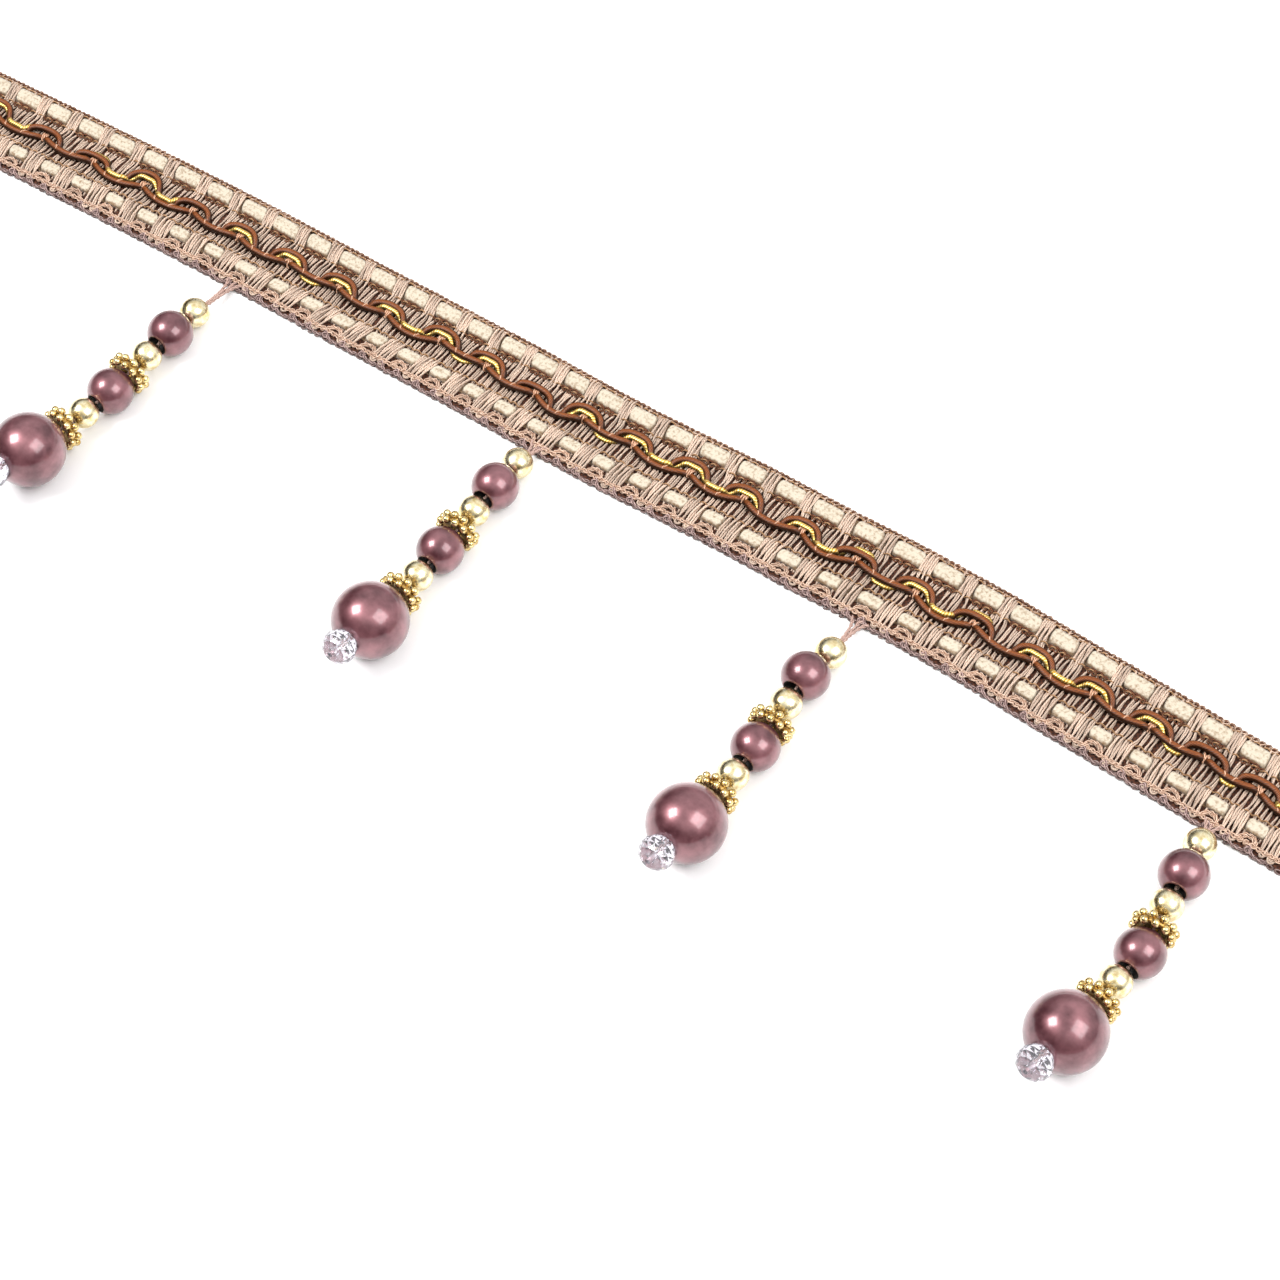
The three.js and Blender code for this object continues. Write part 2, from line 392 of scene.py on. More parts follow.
@dataclass(frozen=True)
class KnitRibbon(Finish):
    """Cream knitted ribbon: rayon loops with a soft lustre, a little deeper between the loops and painted
    darker there as shade.

    Reads the attribute "knit", the height of the knitted relief from 0 to 1, lowered towards the ribbon's
    edges and between its blocks to paint shade there.
    """

    light: str = "#C3B8A4"
    dark: str = "#896D4F"
    roughness: float = 0.5

    def dress(self, tree: Tree, shader: Node) -> None:
        """Colours the loops' backs light and the hollows tan as painted shade, mottled at random, with fine
        filaments as bump.
        """
        place = add_node(tree, "ShaderNodeTexCoord").outputs["Object"]
        # Loops of rayon bunch unevenly over about 0.8 mm
        turned = add_node(tree, "ShaderNodeMapping", {0: place, 2: (0.0, 0.0, 0.5), 3: (0.9, 1.2, 1.0)})
        fine = add_node(tree, "ShaderNodeTexNoise",
                        {"Vector": turned, "Scale": 1 / (0.8 * MM), "Detail": 4.0, "Roughness": 0.65})
        knit = add_node(tree, "ShaderNodeAttribute", attribute_name="knit")
        both = add_node(tree, "ShaderNodeMath", {0: fine, 1: 1.5, 2: knit.outputs["Fac"]},
                        operation="MULTIPLY_ADD")
        level = add_node(tree, "ShaderNodeMapRange", {0: both, 1: 0.5, 2: 2.0})
        ramp = add_node(tree, "ShaderNodeValToRGB", {0: level},
                        [(0.26, linear(self.dark)), (0.55, linear(self.light))])
        bump = add_node(tree, "ShaderNodeBump", {"Strength": 1.0, "Distance": 0.2 * MM, "Height": level})
        set_inputs(tree, shader, {"Base Color": ramp, "Normal": bump, "Roughness": self.roughness,
                                  "Sheen Weight": 0.3})


@dataclass(frozen=True)
class GroundWeave(Finish):
    """The woven ground under the yarns: brown warp and weft, painted dark as the shade that lies under the
    yarns.
    """

    # Both colours are kept dark as painted shade
    light: str = "#5C3019"
    dark: str = "#240F06"
    thread: float = 0.55  # mm from one thread to the next

    def dress(self, tree: Tree, shader: Node) -> None:
        """Paints a plain weave over the sheet."""
        place = add_node(tree, "ShaderNodeTexCoord").outputs["Object"]
        spot = add_node(tree, "ShaderNodeSeparateXYZ", {0: place})
        waves = []
        for axis in (0, 1):
            phase = add_node(tree, "ShaderNodeMath",
                             {0: spot.outputs[axis], 1: math.pi / (self.thread * MM)},
                             operation="MULTIPLY")
            waves.append(add_node(tree, "ShaderNodeMath", {0: phase}, operation="SINE"))
        checks = add_node(tree, "ShaderNodeMath", {0: waves[0], 1: waves[1]}, operation="MULTIPLY")
        height = add_node(tree, "ShaderNodeMapRange", {0: checks, 1: -1.0, 2: 1.0})
        ramp = add_node(tree, "ShaderNodeValToRGB", {0: height},
                        [(0.0, linear(self.dark)), (1.0, linear(self.light))])
        bump = add_node(tree, "ShaderNodeBump", {"Strength": 0.8, "Distance": 0.1 * MM, "Height": height})
        set_inputs(tree, shader, {"Base Color": ramp, "Normal": bump, "Roughness": 0.85})


@dataclass(frozen=True)
class PearlLacquer(Finish):
    """Pearl lacquer sprayed on moulded plastic: a satin metallic rose under a clear skin."""

    light: str = "#8E5C62"
    dark: str = "#552A31"
    metallic: float = 0.62
    roughness: float = 0.37

    def dress(self, tree: Tree, shader: Node) -> None:
        """Clouds the rose a little, with fine scratches in the gloss."""
        place = add_node(tree, "ShaderNodeTexCoord").outputs["Object"]
        # The sprayed coat is cloudy over about 4 mm
        cloud = add_node(tree, "ShaderNodeTexNoise",
                         {"Vector": place, "Scale": 1 / (4.0 * MM), "Detail": 3.0})
        ramp = add_node(tree, "ShaderNodeValToRGB", {0: cloud},
                        [(0.3, linear(self.dark)), (0.7, linear(self.light))])
        # Handling marks a third of a millimetre wide and drawn out into short lines
        drawn = add_node(tree, "ShaderNodeMapping", {0: place, 2: (0.4, 0.9, 0.3), 3: (1.0, 9.0, 9.0)})
        marks = add_node(tree, "ShaderNodeTexNoise",
                         {"Vector": drawn, "Scale": 1 / (3.0 * MM), "Detail": 1.0})
        gloss = add_node(tree, "ShaderNodeMapRange",
                         {0: marks, 1: 0.62, 2: 0.72, 3: self.roughness, 4: self.roughness + 0.14})
        bump = add_node(tree, "ShaderNodeBump",
                        {"Strength": 0.25, "Distance": 0.02 * MM, "Height": marks})
        set_inputs(tree, shader, {
            "Base Color": ramp, "Roughness": gloss, "Normal": bump, "Metallic": self.metallic,
            "Coat Weight": 0.85, "Coat Roughness": 0.15, "Coat IOR": 1.55})


@dataclass(frozen=True)
class PlatedMetal(Finish):
    """Gold plating over cast or plastic beads: bright, with a slightly rippled skin."""

    light: str = "#F6ECC8"
    dark: str = "#D3BA80"
    roughness: float = 0.25
    ripple: float = 0.04  # mm deep

    def dress(self, tree: Tree, shader: Node) -> None:
        """Lets the plating's tone and gloss wander over the bead."""
        place = add_node(tree, "ShaderNodeTexCoord").outputs["Object"]
        # Ripples of the cast skin, about 1.2 mm across
        skin = add_node(tree, "ShaderNodeTexNoise",
                        {"Vector": place, "Scale": 1 / (1.2 * MM), "Detail": 2.0})
        ramp = add_node(tree, "ShaderNodeValToRGB", {0: skin},
                        [(0.3, linear(self.dark)), (0.6, linear(self.light))])
        gloss = add_node(tree, "ShaderNodeMapRange",
                         {0: skin, 3: self.roughness * 0.7, 4: self.roughness * 1.4})
        bump = add_node(tree, "ShaderNodeBump",
                        {"Strength": 0.5, "Distance": self.ripple * MM, "Height": skin})
        set_inputs(tree, shader, {"Base Color": ramp, "Roughness": gloss, "Normal": bump,
                                  "Metallic": 1.0})


@dataclass(frozen=True)
class BoreShade(Finish):
    """The unlit inside of a drilled hole, painted near black as shade."""

    colour: str = "#120A0A"

    def dress(self, tree: Tree, shader: Node) -> None:
        """Leaves drill marks as faint bump in the painted near-black shade."""
        place = add_node(tree, "ShaderNodeTexCoord").outputs["Object"]
        marks = add_node(tree, "ShaderNodeTexNoise", {"Vector": place, "Scale": 1 / (0.5 * MM)})
        bump = add_node(tree, "ShaderNodeBump",
                        {"Strength": 0.3, "Distance": 0.05 * MM, "Height": marks})
        set_inputs(tree, shader, {"Normal": bump, "Base Color": linear(self.colour), "Roughness": 0.6})


@dataclass(frozen=True)
class CutGlass(Finish):
    """Clear pressed glass with ground facets."""

    colour: str = "#ECE9F1"

    def dress(self, tree: Tree, shader: Node) -> None:
        """Sets clear glass whose facets are very slightly worn."""
        place = add_node(tree, "ShaderNodeTexCoord").outputs["Object"]
        worn = add_node(tree, "ShaderNodeTexNoise", {"Vector": place, "Scale": 1 / (0.8 * MM)})
        gloss = add_node(tree, "ShaderNodeMapRange", {0: worn, 3: 0.01, 4: 0.08})
        set_inputs(tree, shader, {"Roughness": gloss, "Base Color": linear(self.colour),
                                  "Transmission Weight": 0.93, "IOR": 1.52})


@dataclass(frozen=True)
class Paper(Finish):
    """The plain white surface that the trim lies on."""

    colour: str = "#F7F7F7"

    def dress(self, tree: Tree, shader: Node) -> None:
        """Keeps it matt and even."""
        set_inputs(tree, shader, {"Base Color": linear(self.colour), "Roughness": 0.9})


# Each yarn's flank_shade and deep_shade paint shade into its colour: the brown and gold cords get dark
# painted flanks, and the edge and picot yarns are painted dark low in the weave
GIMP = Yarn("gimp_yarn_rayon")
EDGE_YARN = Yarn("edge_yarn_rayon", light="#E8CDB8", middle="#B88D71", dark="#5C3320", fibres=3,
                 fibre_pitch=6.0, relief=0.04, deep_at=0.5, clear_at=1.4, deep_shade=0.4)
PICOT_YARN = Yarn("picot_yarn_rayon", light="#BEA49F", middle="#876B65", dark="#3C2421", fibres=3,
                  fibre_pitch=6.0, relief=0.04, deep_at=0.1, clear_at=1.25, deep_shade=0.35)
BINDING = Yarn("binding_thread_cotton", light="#CCA37C", middle="#A0764E", dark="#684226", fibres=3,
               fibre_pitch=3.0, sheen=0.05, roughness=0.6)
TIE = Yarn("tie_thread_cotton", light="#E9BFA2", middle="#C7926F", dark="#7E4A2E", fibres=3,
           fibre_pitch=3.0, sheen=0.05, roughness=0.5)
BROWN_SATIN = Yarn("satin_cord_brown", light="#A25E30", middle="#6C3415", dark="#2C0E04", fibres=14,
                   fibre_pitch=9.0, relief=0.02, roughness=0.38, sheen=0.0, deep_at=0.9,
                   clear_at=2.0, deep_shade=0.35, flank_shade=0.12, flank_from=0.58)
GOLD_FOIL = Yarn("foil_wrapped_cord_gold", light="#FFE79C", middle="#EFC25C", dark="#BC802C",
                 fibres=2, fibre_pitch=1.1, relief=0.012, roughness=0.36, metallic=0.75, sheen=0.0,
                 deep_at=0.9, clear_at=2.0, deep_shade=0.5, flank_shade=0.3, flank_from=0.3)
DROP_YARN = Yarn("drop_thread_rayon", light="#DFC2B6", middle="#B28D80", dark="#603B30", fibres=5,
                 fibre_pitch=4.0, deep_at=-1.0, clear_at=0.2)
# Its arches and rings below the upper blocks are painted shadow
KNOT_THREAD = Yarn("knot_thread_dark_brown_and_shadow", light="#7A4A30", middle="#54301C", dark="#2E170C",
                   fibres=3, fibre_pitch=3.0, sheen=0.0, roughness=0.6)
RIBBON = KnitRibbon("knitted_ribbon_cream")
GROUND = GroundWeave("woven_ground_painted_shade")
PEARL = PearlLacquer("pearl_lacquer_rose")
GOLD = PlatedMetal("polished_plating_pale_gold")
ANTIQUE_GOLD = PlatedMetal("cast_plating_gold", light="#EBD9A2", dark="#B8924E", roughness=0.25,
                           ripple=0.05)
# The spacer's cup is given darker gold as painted shade in the hollows between its granules
SHADED_HOLLOW_GOLD = PlatedMetal("cast_plating_painted_shade_in_hollows", light="#A88850", dark="#5E4520", roughness=0.36,
                          ripple=0.05)
BORE = BoreShade("drilled_bore_painted_shade")
GLASS = CutGlass("pressed_glass_clear")
PAPER = Paper("white_paper")


# Yarn and Geometry Nodes recipes


@dataclass
class Strand:
    """One length of yarn: its points and radii in millimetres, its lightness and first turn."""

    points: list[Vector]
    radius: float | list[float]
    tint: float = 1.0
    start: float = 0.0

    def radii(self) -> list[float]:
        """Gives the radius at each point."""
        return self.radius if isinstance(self.radius, list) else [self.radius] * len(self.points)


def strand_path(name: str, strands: list[Strand]) -> Piece:
    """Makes the mesh of lines that the yarn recipe sweeps.

    Args:
        name: The helper object's name.
        strands: The lengths of yarn.

    Returns:
        A mesh of lines with radius, tint and start on its points.
    """
    points, edges, values = [], [], {"radius": [], "tint": [], "start": []}
    for strand in strands:
        first = len(points)
        points.extend(strand.points)
        edges.extend((i, i + 1) for i in range(first, len(points) - 1))
        values["radius"].extend(radius * MM for radius in strand.radii())
        values["tint"].extend([strand.tint] * len(strand.points))
        values["start"].extend([strand.start] * len(strand.points))
    path = mesh_object(name, points, [], edges)
    for key, column in values.items():
        path.data.attributes.new(key, "FLOAT", "POINT").data.foreach_set("value", column)
    return path


class Recipe:
    """A Geometry Nodes tree with named inputs, run on a helper object to make a piece."""

    inputs: ClassVar[dict[str, tuple[str, object]]] = {}

    def __init__(self, name: str) -> None:
        """Builds the tree.

        Args:
            name: The tree's name.
        """
        self.tree = bpy.data.node_groups.new(name, "GeometryNodeTree")
        sockets = self.tree.interface
        sockets.new_socket("Path", in_out="INPUT", socket_type="NodeSocketGeometry")
        self.ids = {}
        for label, (kind, value) in self.inputs.items():
            socket = sockets.new_socket(label, in_out="INPUT", socket_type=kind)
            socket.default_value = value
            self.ids[label] = socket.identifier
        finish = sockets.new_socket("Finish", in_out="INPUT", socket_type="NodeSocketMaterial")
        self.ids["Finish"] = finish.identifier
        sockets.new_socket("Piece", in_out="OUTPUT", socket_type="NodeSocketGeometry")
        given = self.tree.nodes.new("NodeGroupInput")
        real = add_node(self.tree, "GeometryNodeRealizeInstances", {0: self.wire(given)})
        soft = add_node(self.tree, "GeometryNodeSetShadeSmooth", {0: stored_up(self.tree, real)})
        dressed = add_node(self.tree, "GeometryNodeSetMaterial",
                           {0: soft, "Material": given.outputs["Finish"]})
        add_node(self.tree, "NodeGroupOutput", {0: dressed})

    def wire(self, given: Node) -> Node:
        """Adds the recipe's own nodes and gives the one that holds its shape."""
        raise NotImplementedError

    def run(self, path: Piece, name: str, finish: Finish, **values: object) -> Piece:
        """Runs the recipe and keeps its result as a plain mesh.

        Args:
            path: The helper object that the recipe works on; it is deleted.
            name: The name of the piece.
            finish: Its surface.
            **values: Named inputs, with _ for a space.

        Returns:
            The piece.
        """
        modifier = path.modifiers.new(name, "NODES")
        modifier.node_group = self.tree
        for label, value in values.items():
            modifier[self.ids[label.replace("_", " ")]] = value
        modifier[self.ids["Finish"]] = finish.material()
        graph = bpy.context.evaluated_depsgraph_get()
        mesh = bpy.data.meshes.new_from_object(path.evaluated_get(graph))
        mesh.name = name
        drop_object(path)
        piece = bpy.data.objects.new(name, mesh)
        bpy.context.scene.collection.objects.link(piece)
        return piece


class YarnRecipe(Recipe):
    """Lays twisted yarn along each line of a mesh; "radius" on its points is the yarn's own."""

    inputs = {
        "Plies": ("NodeSocketInt", 1),
        "Ply Pitch": ("NodeSocketFloat", 8.0),  # mm for one turn of the plies
        "Sides": ("NodeSocketInt", 6),
    }

    def wire(self, given: Node) -> Node:
        """Winds the plies round each line and sweeps a round section along them."""
        tree = self.tree
        lines = add_node(tree, "GeometryNodeMeshToCurve", {0: given.outputs["Path"]})
        radius = add_node(tree, "GeometryNodeInputNamedAttribute", {"Name": "radius"}, data_type="FLOAT")
        start = add_node(tree, "GeometryNodeInputNamedAttribute", {"Name": "start"}, data_type="FLOAT")
        copies = add_node(tree, "GeometryNodeDuplicateElements",
                          {0: lines, "Amount": given.outputs["Plies"]}, domain="SPLINE")
        kept, along = measured(tree, copies)
        share = add_node(tree, "ShaderNodeMath",
                         {0: copies.outputs["Duplicate Index"], 1: given.outputs["Plies"]},
                         operation="DIVIDE")
        turns = add_node(tree, "ShaderNodeMath", {0: along, 1: given.outputs["Ply Pitch"]},
                         operation="DIVIDE")
        both = add_node(tree, "ShaderNodeMath", {0: share, 1: turns}, operation="ADD")
        shifted = add_node(tree, "ShaderNodeMath", {0: both, 1: start}, operation="ADD")
        angle = add_node(tree, "ShaderNodeMath", {0: shifted, 1: TURN}, operation="MULTIPLY")
        tangent = add_node(tree, "GeometryNodeInputTangent")
        normal = add_node(tree, "GeometryNodeInputNormal")
        wound = add_node(tree, "ShaderNodeVectorRotate",
                         {"Vector": normal, "Axis": tangent, "Angle": angle},
                         rotation_type="AXIS_ANGLE")
        # A single ply stays on its line
        single = add_node(tree, "FunctionNodeCompare", {0: given.outputs["Plies"], 1: 1.5},
                          data_type="FLOAT", operation="GREATER_THAN")
        reach = add_node(tree, "ShaderNodeMath", {0: radius, 1: single}, operation="MULTIPLY")
        offset = add_node(tree, "ShaderNodeVectorMath", {0: wound, "Scale": reach}, operation="SCALE")
        twisted = add_node(tree, "GeometryNodeSetPosition", {0: kept, "Offset": offset})
        return swept(tree, twisted, given.outputs["Sides"], radius, caps=True)

    def lay(self, name: str, strands: list[Strand], finish: Finish, **values: object) -> Piece:
        """Lays yarn along strands.

        Args:
            name: The name of the piece.
            strands: The lengths of yarn.
            finish: Its surface.
            **values: Named inputs, with _ for a space.

        Returns:
            The piece.
        """
        return self.run(strand_path(f"{name}_lines", strands), name, finish, **values)


def measured(tree: Tree, lines: Node) -> tuple[Node, Node]:
    """Stores on curves how far along each point lies.

    Args:
        tree: The geometry tree.
        lines: The curves.

    Returns:
        The curves with the attribute "along", and the node that gives it in millimetres.
    """
    spot = add_node(tree, "GeometryNodeSplineParameter")
    along = add_node(tree, "ShaderNodeMath", {0: spot.outputs["Length"], 1: 1 / MM},
                     operation="MULTIPLY")
    kept = add_node(tree, "GeometryNodeStoreNamedAttribute",
                    {0: lines, "Name": "along", "Value": along}, data_type="FLOAT", domain="POINT")
    return kept, along


def swept(tree: Tree, lines: Node, sides: Socket | int, radius: Socket | Node, caps: bool) -> Node:
    """Sweeps a round section along curves and stores the "lay" that the yarn finish reads.

    Args:
        tree: The geometry tree.
        lines: The curves, with "along" in millimetres on their points.
        sides: How many sides the section has.
        radius: What gives the yarn's radius, in metres.
        caps: Whether the ends are closed.

    Returns:
        The swept mesh.
    """
    section = add_node(tree, "GeometryNodeCurvePrimitiveCircle",
                       {"Resolution": sides, "Radius": 1.0}, mode="RADIUS")
    spot = add_node(tree, "GeometryNodeSplineParameter")
    marked = add_node(tree, "GeometryNodeStoreNamedAttribute",
                      {0: section, "Name": "around", "Value": spot.outputs["Factor"]},
                      data_type="FLOAT", domain="POINT")
    shape = add_node(tree, "GeometryNodeCurveToMesh",
                     {"Curve": lines, "Profile Curve": marked, "Scale": radius, "Fill Caps": caps})
    around = add_node(tree, "GeometryNodeInputNamedAttribute", {"Name": "around"}, data_type="FLOAT")
    along = add_node(tree, "GeometryNodeInputNamedAttribute", {"Name": "along"}, data_type="FLOAT")
    angle = add_node(tree, "ShaderNodeMath", {0: around, 1: TURN}, operation="MULTIPLY")
    cosine = add_node(tree, "ShaderNodeMath", {0: angle}, operation="COSINE")
    sine = add_node(tree, "ShaderNodeMath", {0: angle}, operation="SINE")
    lay = add_node(tree, "ShaderNodeCombineXYZ", {0: cosine, 1: sine, 2: along})
    return add_node(tree, "GeometryNodeStoreNamedAttribute",
                    {0: shape, "Name": "lay", "Value": lay}, data_type="FLOAT_VECTOR", domain="POINT")


def stored_up(tree: Tree, shape: Node) -> Node:
    """Stores how far each point faces up, from -1 to 1, which tells a yarn's back from its flanks for the
    shade painted on them.

    Args:
        tree: The geometry tree.
        shape: The mesh in its place.

    Returns:
        The mesh with the attribute "up".
    """
    normal = add_node(tree, "GeometryNodeInputNormal")
    part = add_node(tree, "ShaderNodeSeparateXYZ", {0: normal})
    return add_node(tree, "GeometryNodeStoreNamedAttribute",
                    {0: shape, "Name": "up", "Value": part.outputs[2]}, data_type="FLOAT",
                    domain="POINT")


class LoopRowRecipe(Recipe):
    """Sets a row of small yarn loops along a line, each leaning a little its own way."""

    inputs = {
        "Pitch": ("NodeSocketFloat", 1.4 * MM),
        "Long": ("NodeSocketFloat", 1.0 * MM),
        "Short": ("NodeSocketFloat", 0.5 * MM),
        "Gauge": ("NodeSocketFloat", 0.25 * MM),
        "Lean": ("NodeSocketVector", (0.0, 0.0, 0.0)),
        "Spread": ("NodeSocketVector", (0.2, 0.2, 0.2)),
        "Seed": ("NodeSocketInt", 1),
    }

    def wire(self, given: Node) -> Node:
        """Makes one loop and sets it at each step of the line."""
        tree = self.tree
        line = add_node(tree, "GeometryNodeMeshToCurve", {0: given.outputs["Path"]})
        steps = add_node(tree, "GeometryNodeResampleCurve", {0: line, "Length": given.outputs["Pitch"]},
                         mode="LENGTH")
        ring = add_node(tree, "GeometryNodeCurvePrimitiveCircle", {"Resolution": 8, "Radius": 1.0},
                        mode="RADIUS")
        size = add_node(tree, "ShaderNodeCombineXYZ",
                        {0: given.outputs["Long"], 1: given.outputs["Short"], 2: 1.0})
        oval = add_node(tree, "GeometryNodeTransform", {0: ring, "Scale": size})
        kept, _ = measured(tree, oval)
        loop = swept(tree, kept, 5, given.outputs["Gauge"], caps=False)
        tangent = add_node(tree, "GeometryNodeInputTangent")
        heading = add_node(tree, "FunctionNodeAlignRotationToVector", {"Vector": tangent}, axis="X")
        spread = add_node(tree, "FunctionNodeRandomValue",
                          {"Min": (-1.0, -1.0, -1.0), "Max": (1.0, 1.0, 1.0),
                           "Seed": given.outputs["Seed"]}, data_type="FLOAT_VECTOR")
        own = add_node(tree, "ShaderNodeVectorMath",
                       {0: spread, 1: given.outputs["Spread"], 2: given.outputs["Lean"]},
                       operation="MULTIPLY_ADD")
        lean = add_node(tree, "FunctionNodeEulerToRotation", {0: own})
        turned = add_node(tree, "FunctionNodeRotateRotation", {0: heading, 1: lean},
                          rotation_space="LOCAL")
        placed = add_node(tree, "GeometryNodeInstanceOnPoints",
                          {"Points": steps, "Instance": loop, "Rotation": turned})
        shade = add_node(tree, "FunctionNodeRandomValue",
                         {2: 0.8, 3: 1.12, "Seed": given.outputs["Seed"]}, data_type="FLOAT")
        return add_node(tree, "GeometryNodeStoreNamedAttribute",
                        {0: placed, "Name": "tint", "Value": shade.outputs[1]},
                        data_type="FLOAT", domain="INSTANCE")


class GranuleRecipe(Recipe):
    """Sets round granules on the points of a mesh; "radius" on a point is its granule's."""

    inputs = {"Rings": ("NodeSocketInt", 6), "Segments": ("NodeSocketInt", 9)}

    def wire(self, given: Node) -> Node:
        """Makes one ball and sets it on each point."""
        tree = self.tree
        ball = add_node(tree, "GeometryNodeMeshUVSphere",
                        {"Segments": given.outputs["Segments"], "Rings": given.outputs["Rings"],
                         "Radius": 1.0})
        radius = add_node(tree, "GeometryNodeInputNamedAttribute", {"Name": "radius"}, data_type="FLOAT")
        return add_node(tree, "GeometryNodeInstanceOnPoints",
                        {"Points": given.outputs["Path"], "Instance": ball, "Scale": radius})


# The braid


@dataclass(frozen=True)
class RibbonRow:
    """One row of ribbon blocks across the braid, and how the yarns lie beside its blocks."""

    name: str
    side: int  # 1 where it lies on the far half of the braid, and -1 on the near half
    far: float
    near: float
    half_block: float
    over: tuple[int, ...]  # which yarns of a pitch pass over the ribbon between two blocks
    middle_yarn: float  # the number that a yarn in the middle of the gap would have
    bunch: float  # mm from one yarn over the ribbon to the next
    pivot: float  # the place across that the yarns over it lean about
    loose_lean: float  # how far the yarns under it lean for each mm across
    gathers: tuple[float, float]  # how far from the middle line the yarns begin and end to gather
    slant: Table  # how far a block leans for each mm across, at places along


@dataclass
class Braid:
    """The woven gimp braid: ground, yarns across it, two knitted ribbons and looped selvedges."""

    line: BraidLine
    yarn_recipe: YarnRecipe
    loop_recipe: LoopRowRecipe
    yarns_per_pitch: int = 8
    ply_pitch: float = 14.0
    wander: float = 0.28  # how far a yarn strays from its even place
    ground_height: float = 0.55
    sheet_edge: float = 0.35  # the ground stops this far inside the looped selvedge
    band: float = -9.95  # the middle of the cords along the near edge
    edge_ply_pitch: float = 2.4  # of the cords that the near edge is looped from
    knot_pitch: float = 4.8

    upper: ClassVar[RibbonRow] = RibbonRow(
        "upper", side=1, far=9.75, near=6.1, half_block=3.2, over=(3, 4, 5), middle_yarn=4, bunch=0.92,
        pivot=7.9, loose_lean=0.2, gathers=(3.2, 6.0),
        slant=[(-180, 0.34), (-60, 0.3), (60, 0.12), (160, 0.1)])
    lower: ClassVar[RibbonRow] = RibbonRow(
        "lower", side=-1, far=-4.65, near=-7.55, half_block=2.4, over=(2, 3, 4, 5), middle_yarn=3.5,
        bunch=1.06, pivot=-6.1, loose_lean=0.0, gathers=(2.6, 5.0),
        slant=[(-130, 0.22), (-105, 0.2), (-70, -0.3), (-10, -0.05), (60, 0.0), (160, 0.1)])
    # Places across where a yarn has a point, from its far end to its near one
    stations: ClassVar[list[float]] = [11.2, 10.6, 10.0, 9.2, 8.0, 6.9, 6.0, 5.2, 4.2, 3.0, 1.4, -0.4,
                                       -2.0, -3.2, -4.1, -4.9, -6.2, -7.5, -8.4, -9.4, -10.3]
    # Radius of a ply at places across: thin in the open middle, spread out over the ribbons
    ply_radii: ClassVar[Table] = [
        (-10.6, 0.21), (-8.6, 0.24), (-7.5, 0.27), (-4.9, 0.27), (-3.6, 0.2), (3.6, 0.2),
        (5.6, 0.26), (9.8, 0.26), (11.2, 0.2)]

    def __post_init__(self) -> None:
        """Starts the random draws."""
        self.random = random.Random(7)

    def build(self) -> list[Piece]:
        """Builds every piece of the braid.

        Returns:
            The ground sheet first, then what is worked on it.
        """
        ground = self.ground()
        worked = [
            self.crossing_yarns(),
            self.ribbon(self.upper),
            self.ribbon(self.lower),
            self.binding_threads(),
            self.far_selvedge(),
            self.dark_threads_and_shadows(),
            self.near_band(),
            self.near_scallops(),
            self.near_picots(),
            self.tufts(),
        ]
        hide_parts("braid")
        for piece in (ground, *worked):
            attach(piece, "root")
        return [ground, *worked]

    def ground(self) -> Piece:
        """Makes the thin woven sheet that carries everything."""
        line, edge = self.line, self.line.width / 2 - self.sheet_edge
        steps = 120
        section = [(edge, 0.0), (edge, self.ground_height), (0.0, self.ground_height),
                   (-edge, self.ground_height), (-edge, 0.0), (0.0, 0.0)]
        points = [line.at(line.half * (2 * i / steps - 1), across, height)
                  for i in range(steps + 1) for across, height in section]
        piece = mesh_object("braid_ground", points, tube_faces(steps + 1, len(section)))
        piece.data.materials.append(GROUND.material())
        outward(piece)
        return piece

    def yarn_height(self, across: float, over_upper: bool, over_lower: bool) -> float:
        """Gives the height of a yarn's middle at a place across the braid.

        Args:
            across: Millimetres from the middle line.
            over_upper: Whether the yarn passes over the upper ribbon.
            over_lower: Whether it passes over the lower one.

        Returns:
            The height in millimetres.
        """
        over, under, beside, open_part = 1.62, 0.5, 1.05, 0.95
        high = over if over_upper else under
        low = over if over_lower else under
        near_end = [(-10.4, 0.1), (-8.2, 0.1)]
        if over_lower:
            near_end = [(-10.4, 1.1), (-9.6, 1.2), (-8.4, 1.4)]
        shape = [*near_end, (-7.5, low), (-4.8, low), (-4.1, 0.5 * (low + beside)), (-3.3, beside),
                 (-1.5, open_part), (2.5, open_part), (4.2, beside), (5.4, 0.5 * (high + beside)),
                 (6.2, high), (9.7, high), (10.4, 0.9), (11.2, 0.5)]
        return between(shape, across)

    def yarn_place(self, block: int, index: int, across: float, wobble: tuple[float, float]) -> float:
        """Gives where along the braid a yarn lies at a place across it.

        The yarns that pass over a ribbon bunch up between its blocks, lean, and fan out again.

        Args:
            block: The number of the block before the gap.
            index: The yarn's number in the pitch, centred on the gap.
            across: Millimetres from the middle line.
            wobble: The yarn's own shift at its far and near half.

        Returns:
            Millimetres along the braid.
        """
        gap = self.line.block_middle(block + 0.5)
        step = self.line.block_pitch / self.yarns_per_pitch
        even = gap + (index - (self.yarns_per_pitch - 1) / 2) * step
        middle = even + (wobble[0] if across > 0 else wobble[1])
        place = middle
        for row in (self.upper, self.lower):
            if index in row.over:
                lean = between(row.slant, gap) * (across - row.pivot)
                at_row = gap + (index - row.middle_yarn) * row.bunch - lean
            else:
                at_row = even - row.loose_lean * (across - row.gathers[1])
            place += (at_row - middle) * smooth_step(*row.gathers, row.side * across)
        reach = self.line.half - 0.5  # a yarn that would lean past the cut end lies along it
        return max(-reach, min(reach, self.line.drifted(place)))

